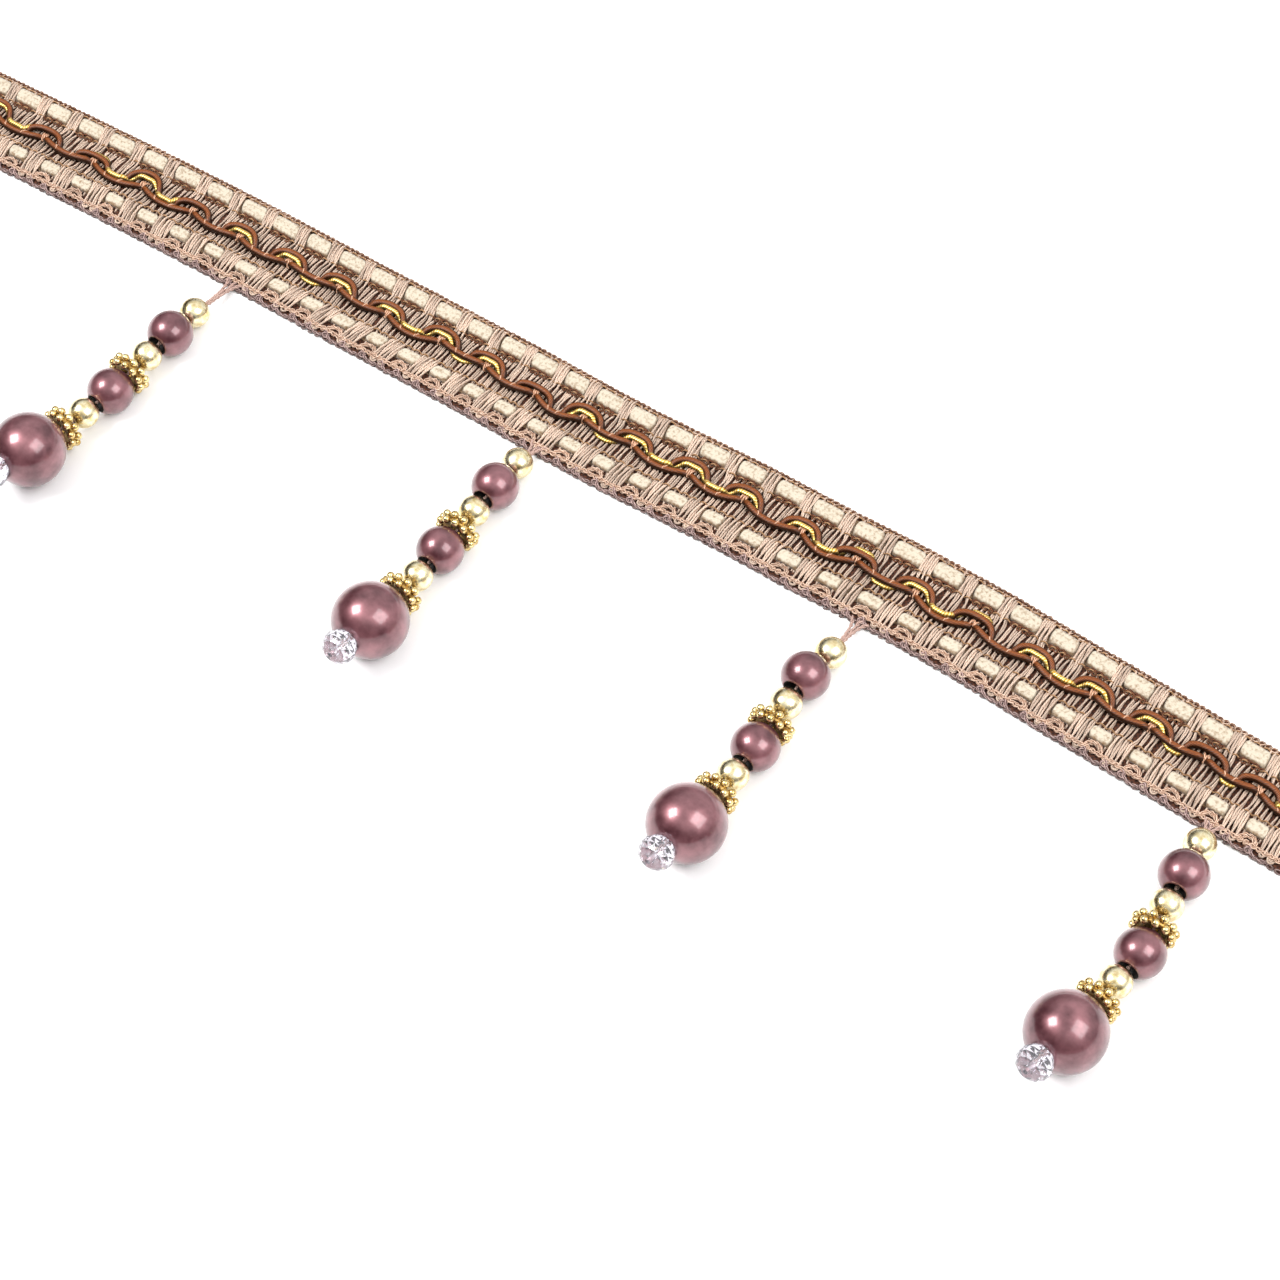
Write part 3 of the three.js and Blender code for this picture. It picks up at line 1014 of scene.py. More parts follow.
    def crossing_yarns(self) -> Piece:
        """Lays the two-ply yarns that run across the braid from one selvedge to the other.

        At the near edge the four yarns of a gap turn back on each other in two small bights.
        """
        line, stations, strands = self.line, self.stations, []
        for block in line.blocks():
            for index in range(self.yarns_per_pitch):
                wobble = tuple(self.random.uniform(-self.wander, self.wander) for _ in range(2))
                over_lower = index in self.lower.over
                points = []
                for across in stations:
                    height = self.yarn_height(across, index in self.upper.over, over_lower)
                    points.append(line.at(self.yarn_place(block, index, across, wobble), across, height))
                radii = [between(self.ply_radii, across) for across in stations]
                if over_lower and index % 2 == 0:
                    bight = self.bight(points[-1].x, self.yarn_place(block, index + 1, stations[-1], wobble))
                    points += bight
                    radii += [radii[-1]] * len(bight)
                tint, first_turn = self.random.uniform(0.8, 1.12), self.random.random()
                if sum(abs(point.x) for point in points) / len(points) < line.half - 0.8:
                    strands.append(Strand(points, radii, tint, first_turn))
        return self.yarn_recipe.lay("crossing_yarns", strands, GIMP, Plies=2, Ply_Pitch=self.ply_pitch,
                                    Sides=5)

    def bight(self, start: float, end: float) -> list[Vector]:
        """Turns a yarn back at the near edge.

        Args:
            start: Where along the braid the yarn comes from.
            end: Where the next yarn takes it up.

        Returns:
            The points of the half turn.
        """
        depth, height, steps = 0.6, 1.05, 6
        points = []
        for i in range(1, steps + 1):
            angle = math.pi * i / steps
            points.append(self.line.at(start + (end - start) * (0.5 - 0.5 * math.cos(angle)),
                                       self.stations[-1] - depth * math.sin(angle), height))
        return points

    def ribbon(self, row: RibbonRow) -> Piece:
        """Weaves one knitted ribbon: padded where it shows as a block, low under the yarns between.

        Args:
            row: The row of blocks.

        Returns:
            The ribbon as one closed strip.
        """
        line, columns = self.line, 15
        low, rise, swell, relief = 0.8, 0.72, 0.35, 0.12  # its height, and what a block adds to it
        middle, width = (row.far + row.near) / 2, row.far - row.near
        stops = self.ribbon_stops(row)
        points, knit_and_shade = [], []
        for even in stops:
            nearest = round((even - line.block_start) / line.block_pitch)
            off = abs(even - line.block_start - nearest * line.block_pitch)
            uneven = 0.25 * math.sin(2.4 * nearest + (1.7 if even > nearest * line.block_pitch else 0.0))
            lean = between(row.slant, even)
            for c in range(columns + 1):
                share = c / columns
                across = row.far - width * share
                bulge = 0.35 * (1 - (2 * share - 1) ** 2) - 0.3 * abs(2 * share - 1) ** 6
                shown = 1 - smooth_step(row.half_block - 0.6 + uneven + bulge,
                                        row.half_block + uneven + bulge, off)
                knit = knit_relief(even, share * width)
                crown = 1 - abs(2 * share - 1) ** 5
                top = low + shown * (rise + swell * crown) + relief * shown * knit * crown**0.5
                points.append(line.at(line.drifted(even - lean * (across - middle)), across, top))
                # The stored knit value is lowered towards the ribbon's edges and where it runs under the
                # yarns, which paints shade there
                knit_and_shade.append(knit * (0.35 + 0.65 * crown) * (0.3 + 0.7 * shown))
            for across in (row.near, row.far):
                place = line.drifted(even - lean * (across - middle))
                points.append(line.at(place, across, self.ground_height))
                knit_and_shade.append(0.0)
        piece = mesh_object(f"ribbon_{row.name}", points, tube_faces(len(stops), columns + 3))
        piece.data.attributes.new("knit", "FLOAT", "POINT").data.foreach_set("value", knit_and_shade)
        piece.data.materials.append(RIBBON.material())
        outward(piece)
        piece.data.shade_smooth()
        return piece

    def ribbon_stops(self, row: RibbonRow) -> list[float]:
        """Gives the even places of a ribbon's sections, close on its blocks and far apart between."""
        fine, coarse, ease, margin = 0.17, 0.8, 0.5, 1.2
        line, reach = self.line, row.half_block + ease
        stops = []
        for block in line.blocks():
            centre = line.block_middle(block)
            count = round(2 * reach / fine)
            stops += [centre + reach * (2 * i / count - 1) for i in range(count + 1)]
            spare = line.block_pitch - 2 * reach
            gaps = max(1, round(spare / coarse))
            stops += [centre + reach + spare * i / gaps for i in range(1, gaps)]
        return [stop for stop in stops if abs(line.drifted(stop)) < line.half - margin]

    def running_line(self, across: float, height: float, step: float, swing: float, rise: float,
                     wave: float, phase: float) -> list[Vector]:
        """Gives the points of a thread that runs along the braid, swinging as it goes.

        Args:
            across: Its place across the braid.
            height: Its middle height.
            step: The distance between points.
            swing: How far it swings across.
            rise: How far it swings up and down.
            wave: The length of a swing.
            phase: The share of a swing that it starts at.

        Returns:
            The points in millimetres.
        """
        line = self.line
        reach = line.half - 0.4
        count = round(2 * line.half / step)
        points = []
        for i in range(count + 1):
            even = line.half * (2 * i / count - 1)
            along = max(-reach, min(reach, line.drifted(even)))
            turn = TURN * (even / wave + phase)
            points.append(line.at(along, across + swing * math.sin(turn), height + rise * math.cos(turn)))
        return points

    def ring(self, along: float, across: float, height: float, long: float, wide: float, lift: float,
             steps: int) -> list[Vector]:
        """Gives the points of a small ring of thread that stands up at its far side.

        Args:
            along: Its middle along the braid.
            across: Its middle across it.
            height: The height of its middle.
            long: Its radius along the braid.
            wide: Its radius across it.
            lift: How far its far side rises and its near side dips.
            steps: How many steps make the round.

        Returns:
            The points in millimetres, the first one again at the end.
        """
        return [self.line.at(along + long * math.cos(TURN * i / steps),
                             across + wide * math.sin(TURN * i / steps),
                             height + lift * math.sin(TURN * i / steps)) for i in range(steps + 1)]

    def binding_threads(self) -> Piece:
        """Runs the thin tan threads that tie the yarns down beside each ribbon."""
        step = self.line.block_pitch / self.yarns_per_pitch
        strands = []
        for across, height, phase in ((5.25, 1.5, 0.0), (-4.05, 1.5, 0.25), (10.2, 1.1, 0.1)):
            points = self.running_line(across, height, step / 4, swing=0.1, rise=0.42, wave=2 * step,
                                       phase=phase)
            strands.append(Strand(points, 0.17))
        return self.yarn_recipe.lay("binding_threads", strands, BINDING, Plies=1, Sides=5)

    def selvedge_line(self, across: float, height: float) -> Piece:
        """Makes the line that a row of loops follows, in steps of 5 mm."""
        line = self.line
        count = round(2 * (line.half - 1) / 5)
        points = [line.at((line.half - 1) * (2 * i / count - 1), across, height)
                  for i in range(count + 1)]
        return mesh_object("selvedge_line", points, [], [(i, i + 1) for i in range(count)])

    def far_selvedge(self) -> Piece:
        """Works the row of tight loops along the far edge."""
        return self.loop_recipe.run(
            self.selvedge_line(10.95, 0.85), "far_selvedge", EDGE_YARN, Pitch=1.4 * MM,
            Long=0.66 * MM, Short=0.52 * MM, Gauge=0.22 * MM, Lean=(-0.3, 0.0, 0.35),
            Spread=(0.2, 0.15, 0.2), Seed=3)

    def dark_threads_and_shadows(self) -> Piece:
        """Runs the dark thread that knots the far edge, arches below each upper block and rings it, where
        the arch and rings are painted shadow under the block.
        """
        line, below = self.line, self.upper.near
        edge = self.running_line(across=10.8, height=0.7, step=0.2, swing=0.1, rise=0.68, wave=1.4,
                                 phase=0.3)
        strands = [Strand(edge, 0.22)]
        # Dark thread laid as painted shadow: an arch and four rings below each upper block
        for block in line.whole_blocks():
            centre = line.block_middle(block)
            reach = self.upper.half_block - self.random.uniform(0.0, 0.5)
            arch = []
            for i in range(13):
                turn = 2 * i / 12 - 1
                across = below - 0.75 + 0.55 * (1 - turn**2) + 0.1 * math.sin(9 * turn)
                height = 1.35 + 0.3 * math.sin(12.0 * turn + block)
                arch.append(line.at(line.drifted(centre + 0.6 + reach * turn), across, height))
            strands.append(Strand(arch, 0.24))
            for knot in (-1.9, -0.7, 0.6, 1.8):
                along = line.drifted(centre + 0.5 + knot + self.random.uniform(-0.25, 0.25))
                ring = self.ring(along, below - 1.05, 1.45, long=0.42, wide=0.4, lift=0.2, steps=8)
                strands.append(Strand(ring, 0.17, self.random.uniform(0.9, 1.5)))
        return self.yarn_recipe.lay("dark_threads_and_shadows", strands, KNOT_THREAD, Plies=1, Sides=5)

    def near_band(self) -> Piece:
        """Runs the two cords that cross over and over each other along the near edge."""
        strands = [Strand(self.running_line(self.band, height=1.3, step=0.35, swing=0.34, rise=0.16,
                                            wave=2.9, phase=phase), 0.19) for phase in (0.0, 0.5)]
        return self.yarn_recipe.lay("near_band", strands, EDGE_YARN, Plies=2,
                                    Ply_Pitch=self.edge_ply_pitch, Sides=5)

    def near_scallops(self) -> Piece:
        """Loops a cord from knot to knot outside the band, with a curled knot at each."""
        line, strands = self.line, []
        count = round(2 * (line.half - 2) / self.knot_pitch)
        knots = [(line.half - 2) * (2 * i / count - 1) for i in range(count + 1)]
        knots = [knot + self.random.uniform(-0.6, 0.6) for knot in knots[1:-1]]
        for knot, following in zip(knots, knots[1:]):
            depth = self.random.uniform(0.95, 1.25)
            points = []
            for i in range(11):
                share = i / 10
                across = self.band - 0.55 - depth * math.sin(math.pi * share) ** 0.6
                points.append(line.at(knot + (following - knot) * share, across, 0.95 - 0.35 * share))
            strands.append(Strand(points, 0.23, self.random.uniform(0.9, 1.1)))
            ring = self.ring(knot, self.band - 0.95, 1.05, long=0.62, wide=0.55, lift=0.25, steps=12)
            strands.append(Strand(ring, 0.2, self.random.uniform(1.0, 1.2)))
        return self.yarn_recipe.lay("near_scallops", strands, PICOT_YARN, Plies=2,
                                    Ply_Pitch=self.edge_ply_pitch, Sides=5)

    def near_picots(self) -> Piece:
        """Works the ragged row of small loops under the scallops."""
        return self.loop_recipe.run(
            self.selvedge_line(-11.5, 0.5), "near_picots", PICOT_YARN, Pitch=1.9 * MM,
            Long=0.75 * MM, Short=0.36 * MM, Gauge=0.2 * MM, Lean=(0.2, 0.0, 0.25),
            Spread=(0.25, 0.3, 0.5), Seed=8)

    def tufts(self) -> Piece:
        """Works the two arches of yarn round the dark opening under each lower block."""
        line, strands = self.line, []
        for block in line.whole_blocks():
            centre = line.block_middle(block) + self.random.uniform(-0.3, 0.3)
            for scale, height in ((1.0, 1.1), (1.3, 1.2)):
                wide, tall = (scale * self.random.uniform(1.4, 1.65) for _ in range(2))
                points = []
                for i in range(15):
                    angle = math.pi * (1.12 * i / 14 - 0.06) + self.random.uniform(-0.05, 0.05)
                    along = line.drifted(centre + wide * math.cos(angle))
                    across = self.band + 0.2 + 0.88 * tall * math.sin(angle)
                    points.append(line.at(along, across, height + 0.1 * math.sin(7 * angle + block)))
                strands.append(Strand(points, 0.18, self.random.uniform(0.85, 1.12)))
        return self.yarn_recipe.lay("tufts", strands, EDGE_YARN, Plies=2,
                                    Ply_Pitch=self.edge_ply_pitch, Sides=5)


def knit_relief(along: float, across: float) -> float:
    """Gives the height of knitted fabric, from 0 in a hollow to 1 on a loop's back.

    Args:
        along: Millimetres in the direction of the knitted columns.
        across: Millimetres from the ribbon's edge.

    Returns:
        The relief's height.
    """
    wale, course = 1.3, 0.95
    leg = abs(2 * ((across / wale) % 1) - 1)
    loop = 0.5 + 0.5 * math.cos(TURN * (along / course + 0.45 * leg + 0.3 * across))
    return 0.4 + 0.22 * loop * (1 - leg**4) + 0.1 * (1 - leg)


def tube_faces(rings: int, around: int) -> list[tuple[int, ...]]:
    """Joins rings of points into a closed tube.

    Args:
        rings: How many rings follow each other.
        around: How many points each ring has.

    Returns:
        The faces, with one cap at each end.
    """
    faces = [tuple(range(around)), tuple((rings - 1) * around + i for i in reversed(range(around)))]
    for r in range(rings - 1):
        for i in range(around):
            j = (i + 1) % around
            a, b = r * around, (r + 1) * around
            faces.append((a + i, b + i, b + j, a + j))
    return faces


def outward(piece: Piece) -> None:
    """Turns the faces of a closed piece outwards."""
    shape = bmesh.new()
    shape.from_mesh(piece.data)
    bmesh.ops.recalc_face_normals(shape, faces=shape.faces)
    shape.to_mesh(piece.data)
    shape.free()


# The wavy cords


class Gold(Enum):
    """What the gold cord does at a trough of the waves."""

    OVER = "lies on the lower brown cord"
    UNDER = "dips below it and shows past its near side"
    HIDDEN = "stays beneath it"


@dataclass(frozen=True)
class Crest:
    """One arch of the cords and the trough after it, in millimetres along and across the braid."""

    along: float
    arch: float  # the upper brown cord at its highest
    gold: float | None  # the gold cord under that arch, or past it, or None where it stays hidden
    cusp: float  # the lower brown cord below the arch
    after: Gold  # what the gold cord does in the trough
    sag: float  # the lower brown cord at the bottom of the trough


CRESTS = [
    Crest(-183.0, 3.3, None, 0.3, Gold.HIDDEN, -0.9),
    Crest(-169.5, 3.6, 2.9, 0.8, Gold.OVER, -1.45),
    Crest(-154.2, 2.25, None, 0.4, Gold.HIDDEN, -1.35),
    Crest(-139.6, 1.6, 2.7, 0.3, Gold.OVER, -1.9),
    Crest(-125.2, 3.7, 2.4, 0.5, Gold.OVER, -1.6),
    Crest(-110.5, 2.2, None, 0.3, Gold.HIDDEN, -1.5),
    Crest(-96.6, 2.5, 1.25, -0.2, Gold.HIDDEN, -1.65),
    Crest(-82.6, 2.5, 1.45, 0.0, Gold.UNDER, -0.7),
    Crest(-68.6, 2.95, 1.7, 0.4, Gold.HIDDEN, -0.95),
    Crest(-54.8, 2.7, 1.7, 0.6, Gold.OVER, -1.45),
    Crest(-40.4, 3.55, 2.35, 1.0, Gold.UNDER, -0.1),
    Crest(-27.6, 3.05, 1.9, 0.5, Gold.HIDDEN, -1.1),
    Crest(-14.2, 1.75, None, 0.5, Gold.HIDDEN, -1.75),
    Crest(-1.6, 3.4, 2.1, 0.8, Gold.UNDER, -0.25),
    Crest(11.6, 3.3, 2.2, 1.0, Gold.OVER, -1.15),
    Crest(25.8, 3.6, 2.5, 0.9, Gold.OVER, -1.1),
    Crest(39.2, 3.5, 2.3, 1.2, Gold.HIDDEN, -1.15),
    Crest(54.0, 3.0, 1.9, 0.8, Gold.OVER, -1.75),
    Crest(67.4, 2.25, 3.7, 0.7, Gold.UNDER, -0.85),
    Crest(82.0, 2.7, 1.65, 0.2, Gold.OVER, -2.25),
    Crest(96.0, 2.25, 3.6, 0.5, Gold.HIDDEN, -1.5),
    Crest(110.8, 2.85, 1.75, 0.5, Gold.OVER, -1.3),
    Crest(124.8, 3.4, 2.2, 0.8, Gold.HIDDEN, -0.65),
    Crest(138.4, 3.35, 2.3, 0.9, Gold.UNDER, -0.15),
    Crest(151.0, 3.1, None, 1.2, Gold.UNDER, -0.2),
    Crest(163.4, 2.95, None, 1.1, Gold.OVER, -0.9),
    Crest(177.0, 3.2, 2.1, 0.7, Gold.HIDDEN, -0.8),
    Crest(191.0, 3.2, 2.1, 0.7, Gold.HIDDEN, -0.8),
]


@dataclass
class WavyCords:
    """The two brown cords and the gold one that wind along the middle of the braid."""

    line: BraidLine
    yarn_recipe: YarnRecipe
    brown_radius: float = 0.77
    gold_radius: float = 0.61
    step: float = 0.4
    half_arch: float = 4.85
    dip: float = 1.1  # height of the gold cord where it passes under the upper brown one

    def build(self) -> list[Piece]:
        """Builds the three cords and the stitches that tie them down.

        Returns:
            The three cords and the stitches.
        """
        pieces = []
        for node, place, radius, finish, slot in (
            ("brown_cord_upper", self.upper_place, self.brown_radius, BROWN_SATIN, "brown_cord"),
            ("gold_cord", self.gold_place, self.gold_radius, GOLD_FOIL, "gold_cord"),
            ("brown_cord_lower", self.lower_place, self.brown_radius, BROWN_SATIN, "brown_cord"),
        ):
            strand = Strand(self.route(place), radius)
            cord = self.yarn_recipe.lay(f"{node}_wound", [strand], finish, Plies=1, Sides=9)
            pieces.append(stands_for(cord, node))
        return [*pieces, self.stitches()]

    def route(self, place: Callable[[float], tuple[float, float]]) -> list[Vector]:
        """Follows one cord along the braid.

        Args:
            place: Gives the cord's place across and its height at a place along.

        Returns:
            The cord's points in millimetres.
        """
        half = self.line.half
        count = round(2 * half / self.step)
        stops = [half * (2 * i / count - 1) for i in range(count + 1)]
        return [self.line.at(along, *place(along)) for along in stops]

    def wave(self, along: float) -> tuple[Crest, Crest, float]:
        """Finds the stretch of the waves that a place lies in.

        Args:
            along: Millimetres along the braid.

        Returns:
            The crests before and after the place, and the share of the way between them.
        """
        for crest, following in zip(CRESTS, CRESTS[1:]):
            if along < following.along:
                return crest, following, (along - crest.along) / (following.along - crest.along)
        raise ValueError("the place lies past the last crest")

    def lower_place(self, along: float) -> tuple[float, float]:
        """Follows the lower brown cord: hanging arcs that meet in a cusp below each crest.

        Args:
            along: Millimetres along the braid.

        Returns:
            Its place across the braid and its height.
        """
        crest, following, share = self.wave(along)
        level = crest.cusp + (following.cusp - crest.cusp) * share
        hang = math.sin(math.pi * share) ** 0.8
        height = 1.75 if crest.after is Gold.OVER else 2.2
        rise = smooth_step(0.05, 0.5, hang)
        return level + (crest.sag - level) * hang, self.dip + (height - self.dip) * rise

    def upper_place(self, along: float) -> tuple[float, float]:
        """Follows the upper brown cord: round arches, and hidden below between their feet.

        Args:
            along: Millimetres along the braid.

        Returns:
            Its place across the braid and its height.
        """
        crest, following, share = self.wave(along)
        nearer = crest if share < 0.5 else following
        off = abs(along - nearer.along) / self.half_arch
        roundness = 0.5 if nearer.gold is not None and nearer.gold < nearer.arch else 0.36
        dome = (1 - off**2) ** roundness if off < 1 else 0.0
        low, _ = self.lower_place(along)
        return low + (nearer.arch - low) * dome, 0.9 + 1.2 * smooth_step(0.1, 0.7, dome)

    def gold_place(self, along: float) -> tuple[float, float]:
        """Follows the gold cord: up inside each arch, then over or under the lower cord.

        Args:
            along: Millimetres along the braid.

        Returns:
            Its place across the braid and its height.
        """
        crest, following, share = self.wave(along)
        nearer = crest if share < 0.5 else following
        leaves, lands = 0.08, 0.43  # shares of the wave where it leaves the arch and lands
        if nearer.gold is None:
            leaves = 0.31
            top, top_height = self.upper_place(along + 0.5)[0] + 0.5, 1.0
        else:
            top, top_height = nearer.gold, 1.0 if nearer.gold > nearer.arch else 2.0
        low, low_height = {
            Gold.OVER: (crest.sag + 1.05, 2.5),
            Gold.UNDER: (crest.sag - 0.78, 1.15),
            Gold.HIDDEN: (crest.sag + 0.5, 0.9),
        }[crest.after]
        apart = min(share, 1 - share)
        fall = smooth_step(leaves, lands, apart)
        # It dips under the leg of the arch on its way
        height = top_height + (self.dip - top_height) * smooth_step(0.13, 0.24, apart)
        height += (low_height - self.dip) * smooth_step(0.28, 0.36, apart)
        return top + (low - top) * fall, height

    def stitches(self) -> Piece:
        """Works the small tan stitches at the feet of each arch and over the cusp below its crown."""
        line, draws, strands = self.line, random.Random(5), []
        for crest in CRESTS[1:-2]:
            for side in (-1, 1):
                along = crest.along + side * (self.half_arch + 0.1)
                low, height = self.lower_place(along)
                foot = [line.at(along - 0.35 * side, low + 0.85, 1.7),
                        line.at(along - 0.1 * side, low + 0.45, height + 0.62),
                        line.at(along + 0.2 * side, low - 0.05, height + 0.72),
                        line.at(along + 0.4 * side, low - 0.4, height + 0.45)]
                strands.append(Strand(foot, 0.2))
            for shift in (-0.55, 0.0, 0.5):
                slant = draws.uniform(-0.3, 0.5)
                over = [line.at(crest.along + shift - slant, crest.cusp + 1.25, 1.2),
                        line.at(crest.along + shift, crest.cusp + 0.45, 2.0),
                        line.at(crest.along + shift + 0.5 * slant, crest.cusp - 0.3, 2.05),
                        line.at(crest.along + shift + slant, crest.cusp - 1.0, 1.3)]
                strands.append(Strand(over, 0.23))
        piece = self.yarn_recipe.lay("cord_stitches", strands, TIE, Plies=1, Sides=6)
        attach(piece, "root")
        return piece


# The bead drops


@dataclass(frozen=True)
class BeadShape:
    """A bored ball: its radius, the radii of its two holes and how deep the lower one is, in mm."""

    radius: float
    upper_hole: float
    lower_hole: float
    lower_depth: float
    segments: int
    arcs: int

    def outline(self) -> Table:
        """Gives the profile from the upper hole round the outside and back through the bore."""
        start = math.asin(self.upper_hole / self.radius)
        end = math.pi - math.asin(self.lower_hole / self.radius)
        angles = [start + (end - start) * i / self.arcs for i in range(self.arcs + 1)]
        skin = [(self.radius * math.sin(a), self.radius * math.cos(a)) for a in angles]
        lip, sunk = 0.93, 0.25  # how far the edge of a hole is rounded, as a share and in mm
        bottom = self.lower_depth - self.radius
        bore = [(self.lower_hole * lip, skin[-1][1] + sunk), (self.upper_hole, bottom),
                (self.upper_hole * lip, skin[0][1] - sunk)]
        return skin + bore


@dataclass
class Drop:
    """One strung drop: beads on a twisted thread, from the braid's near edge to the crystal."""

    number: int
    yarn_recipe: YarnRecipe
    granule_recipe: GranuleRecipe
    thread_radius: float = 0.45
    root_height: float = 1.2  # where the thread comes out of the braid

    gold_bead: ClassVar[BeadShape] = BeadShape(3.3, 0.9, 0.9, 0.6, segments=32, arcs=18)
    pearl: ClassVar[BeadShape] = BeadShape(5.0, 1.1, 2.3, 3.4, segments=48, arcs=28)
    big_pearl: ClassVar[BeadShape] = BeadShape(8.0, 1.2, 2.6, 3.6, segments=64, arcs=38)
    order: ClassVar[tuple[str, ...]] = (
        "gold_bead_upper", "pearl_upper", "gold_bead_middle", "spacer_upper", "pearl_lower",
        "gold_bead_lower", "spacer_lower", "big_pearl", "crystal")
    # The spacer's section from the hub over the disc and back beneath it, as (radius, height)
    spacer_outline: ClassVar[Table] = [
        (1.2, 1.5), (1.9, 1.5), (2.3, 1.2), (2.6, 0.6), (3.6, 0.5), (3.9, 0.1), (3.9, -0.7),
        (3.6, -1.1), (2.8, -0.9), (2.2, -0.6), (1.2, -0.6)]
    # Rows of granules: ring radius, height, granule radius, count and shift
    spacer_granules: ClassVar[list[tuple[float, float, float, int, float]]] = [
        (4.1, 0.5, 0.88, 11, 0.0), (4.0, -1.05, 0.88, 11, 0.5), (2.3, 1.35, 0.5, 9, 0.5)]

    def build(self) -> list[Piece]:
        """Builds the drop's beads and thread, each in place of its solid.

        Returns:
            The pieces of the drop.
        """
        centres = [self.centre(bead) for bead in self.order]
        low, high = (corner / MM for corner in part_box(f"drop_{self.number}_thread"))
        leans_left = abs(centres[0].x - low.x) < abs(centres[0].x - high.x)
        root_x = low.x + self.thread_radius if leans_left else high.x - self.thread_radius
        path = [Vector((root_x, high.y, self.root_height)), *centres]
        pieces = []
        for i, bead in enumerate(self.order):
            after = path[min(i + 2, len(path) - 1)]
            uphill = (path[i] - after).normalized()
            piece = self.bead(bead)
            turn = uphill.to_track_quat("Y", "Z").to_matrix().to_4x4()
            piece.data.transform(Matrix.Translation(centres[i] * MM) @ turn)
            pieces.append(stands_for(piece, f"drop_{self.number}_{bead}"))
        pieces.append(self.thread(path))
        return pieces

    def centre(self, bead: str) -> Vector:
        """Gives a bead's centre in millimetres, set on the surface where it would sink in."""
        low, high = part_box(f"drop_{self.number}_{bead}")
        middle = (low + high) / 2 / MM
        if bead.startswith("pearl"):
            middle.z = max(middle.z, self.pearl.radius)
        if bead == "big_pearl":
            middle.z = max(middle.z, self.big_pearl.radius)
        return middle

    def bead(self, bead: str) -> Piece:
        """Makes a bead at the origin, its upper hole facing along Y."""
        name = f"{bead}_{self.number}"
        if bead.startswith("gold_bead"):
            return turned_bead(name, self.gold_bead, GOLD)
        if bead.startswith("pearl"):
            return turned_bead(name, self.pearl, PEARL)
        if bead == "big_pearl":
            return turned_bead(name, self.big_pearl, PEARL)
        if bead == "crystal":
            return faceted_crystal(name)
        return self.spacer(name)

    def spacer(self, name: str) -> Piece:
        """Makes a cast flower spacer: a hub, a cupped disc and a rim of round granules.

        Args:
            name: The piece's name.

        Returns:
            The spacer as one mesh.
        """
        # The cup's darker gold is painted shade in the hollows between the granules
        cup = turned_piece(name, self.spacer_outline, 48, SHADED_HOLLOW_GOLD)
        places, radii = [], []
        for ring_radius, height, radius, count, shift in self.spacer_granules:
            for i in range(count):
                angle = TURN * (i + shift) / count
                places.append((ring_radius * math.cos(angle), height, ring_radius * math.sin(angle)))
                radii.append(radius * MM)
        points = mesh_object("granule_points", places, [])
        points.data.attributes.new("radius", "FLOAT", "POINT").data.foreach_set("value", radii)
        return joined(cup, self.granule_recipe.run(points, f"{name}_granules", ANTIQUE_GOLD))

    def thread(self, path: list[Vector]) -> Piece:
        """Twists the thread that the beads hang on.

        Args:
            path: Its root and the centres of the beads, in millimetres.

        Returns:
            The thread.
        """
        root, first = path[0], path[1]
        points = smooth_route([root + Vector((0.0, 1.9, -0.2)), *path], 5)
        strands = [Strand(points, self.thread_radius * 0.6)]
        # Two thinner legs spread into the braid's edge
        for side in (-1, 1):
            leg = [root + Vector((2.1 * side, 1.6, 0.2)), root + Vector((1.1 * side, 0.4, 0.25)),
                   root.lerp(first, 0.3) + Vector((0.45 * side, 0.0, 0.1)),
                   root.lerp(first, 0.6) + Vector((0.3 * side, 0.0, 0.0)), first]
            strands.append(Strand(smooth_route(leg, 4), self.thread_radius * 0.5))
        piece = self.yarn_recipe.lay(f"thread_{self.number}", strands, DROP_YARN, Plies=2,
                                     Ply_Pitch=2.6, Sides=7)
        return stands_for(piece, f"drop_{self.number}_thread")


def turned_piece(name: str, outline: Table, segments: int, finish: Finish,
                 inner_from: int | None = None) -> Piece:
    """Turns a closed outline round the Y axis.

    Args:
        name: The piece's name.
        outline: Radius and height of each point, in millimetres.
        segments: How many steps make the round.
        finish: Its surface.
        inner_from: From this point of the outline on, the faces are the inside of the bore, painted dark as
            shade.

    Returns:
        The turned piece at the origin.
    """
    points = [(r * math.cos(TURN * s / segments), y, r * math.sin(TURN * s / segments))
              for r, y in outline for s in range(segments)]
    faces = []
    for row in range(len(outline)):
        following = (row + 1) % len(outline)
        for s in range(segments):
            t = (s + 1) % segments
            faces.append((row * segments + s, following * segments + s, following * segments + t,
                          row * segments + t))
    piece = mesh_object(name, points, faces)
    piece.data.materials.append(finish.material())
    if inner_from is not None:
        piece.data.materials.append(BORE.material())
        for polygon in piece.data.polygons:
            polygon.material_index = 1 if polygon.index // segments >= inner_from else 0
    outward(piece)
    piece.data.shade_smooth()
    return piece


def turned_bead(name: str, shape: BeadShape, finish: Finish) -> Piece:
    """Turns a bored ball whose bore is painted dark as shade."""
    return turned_piece(name, shape.outline(), shape.segments, finish, inner_from=shape.arcs)


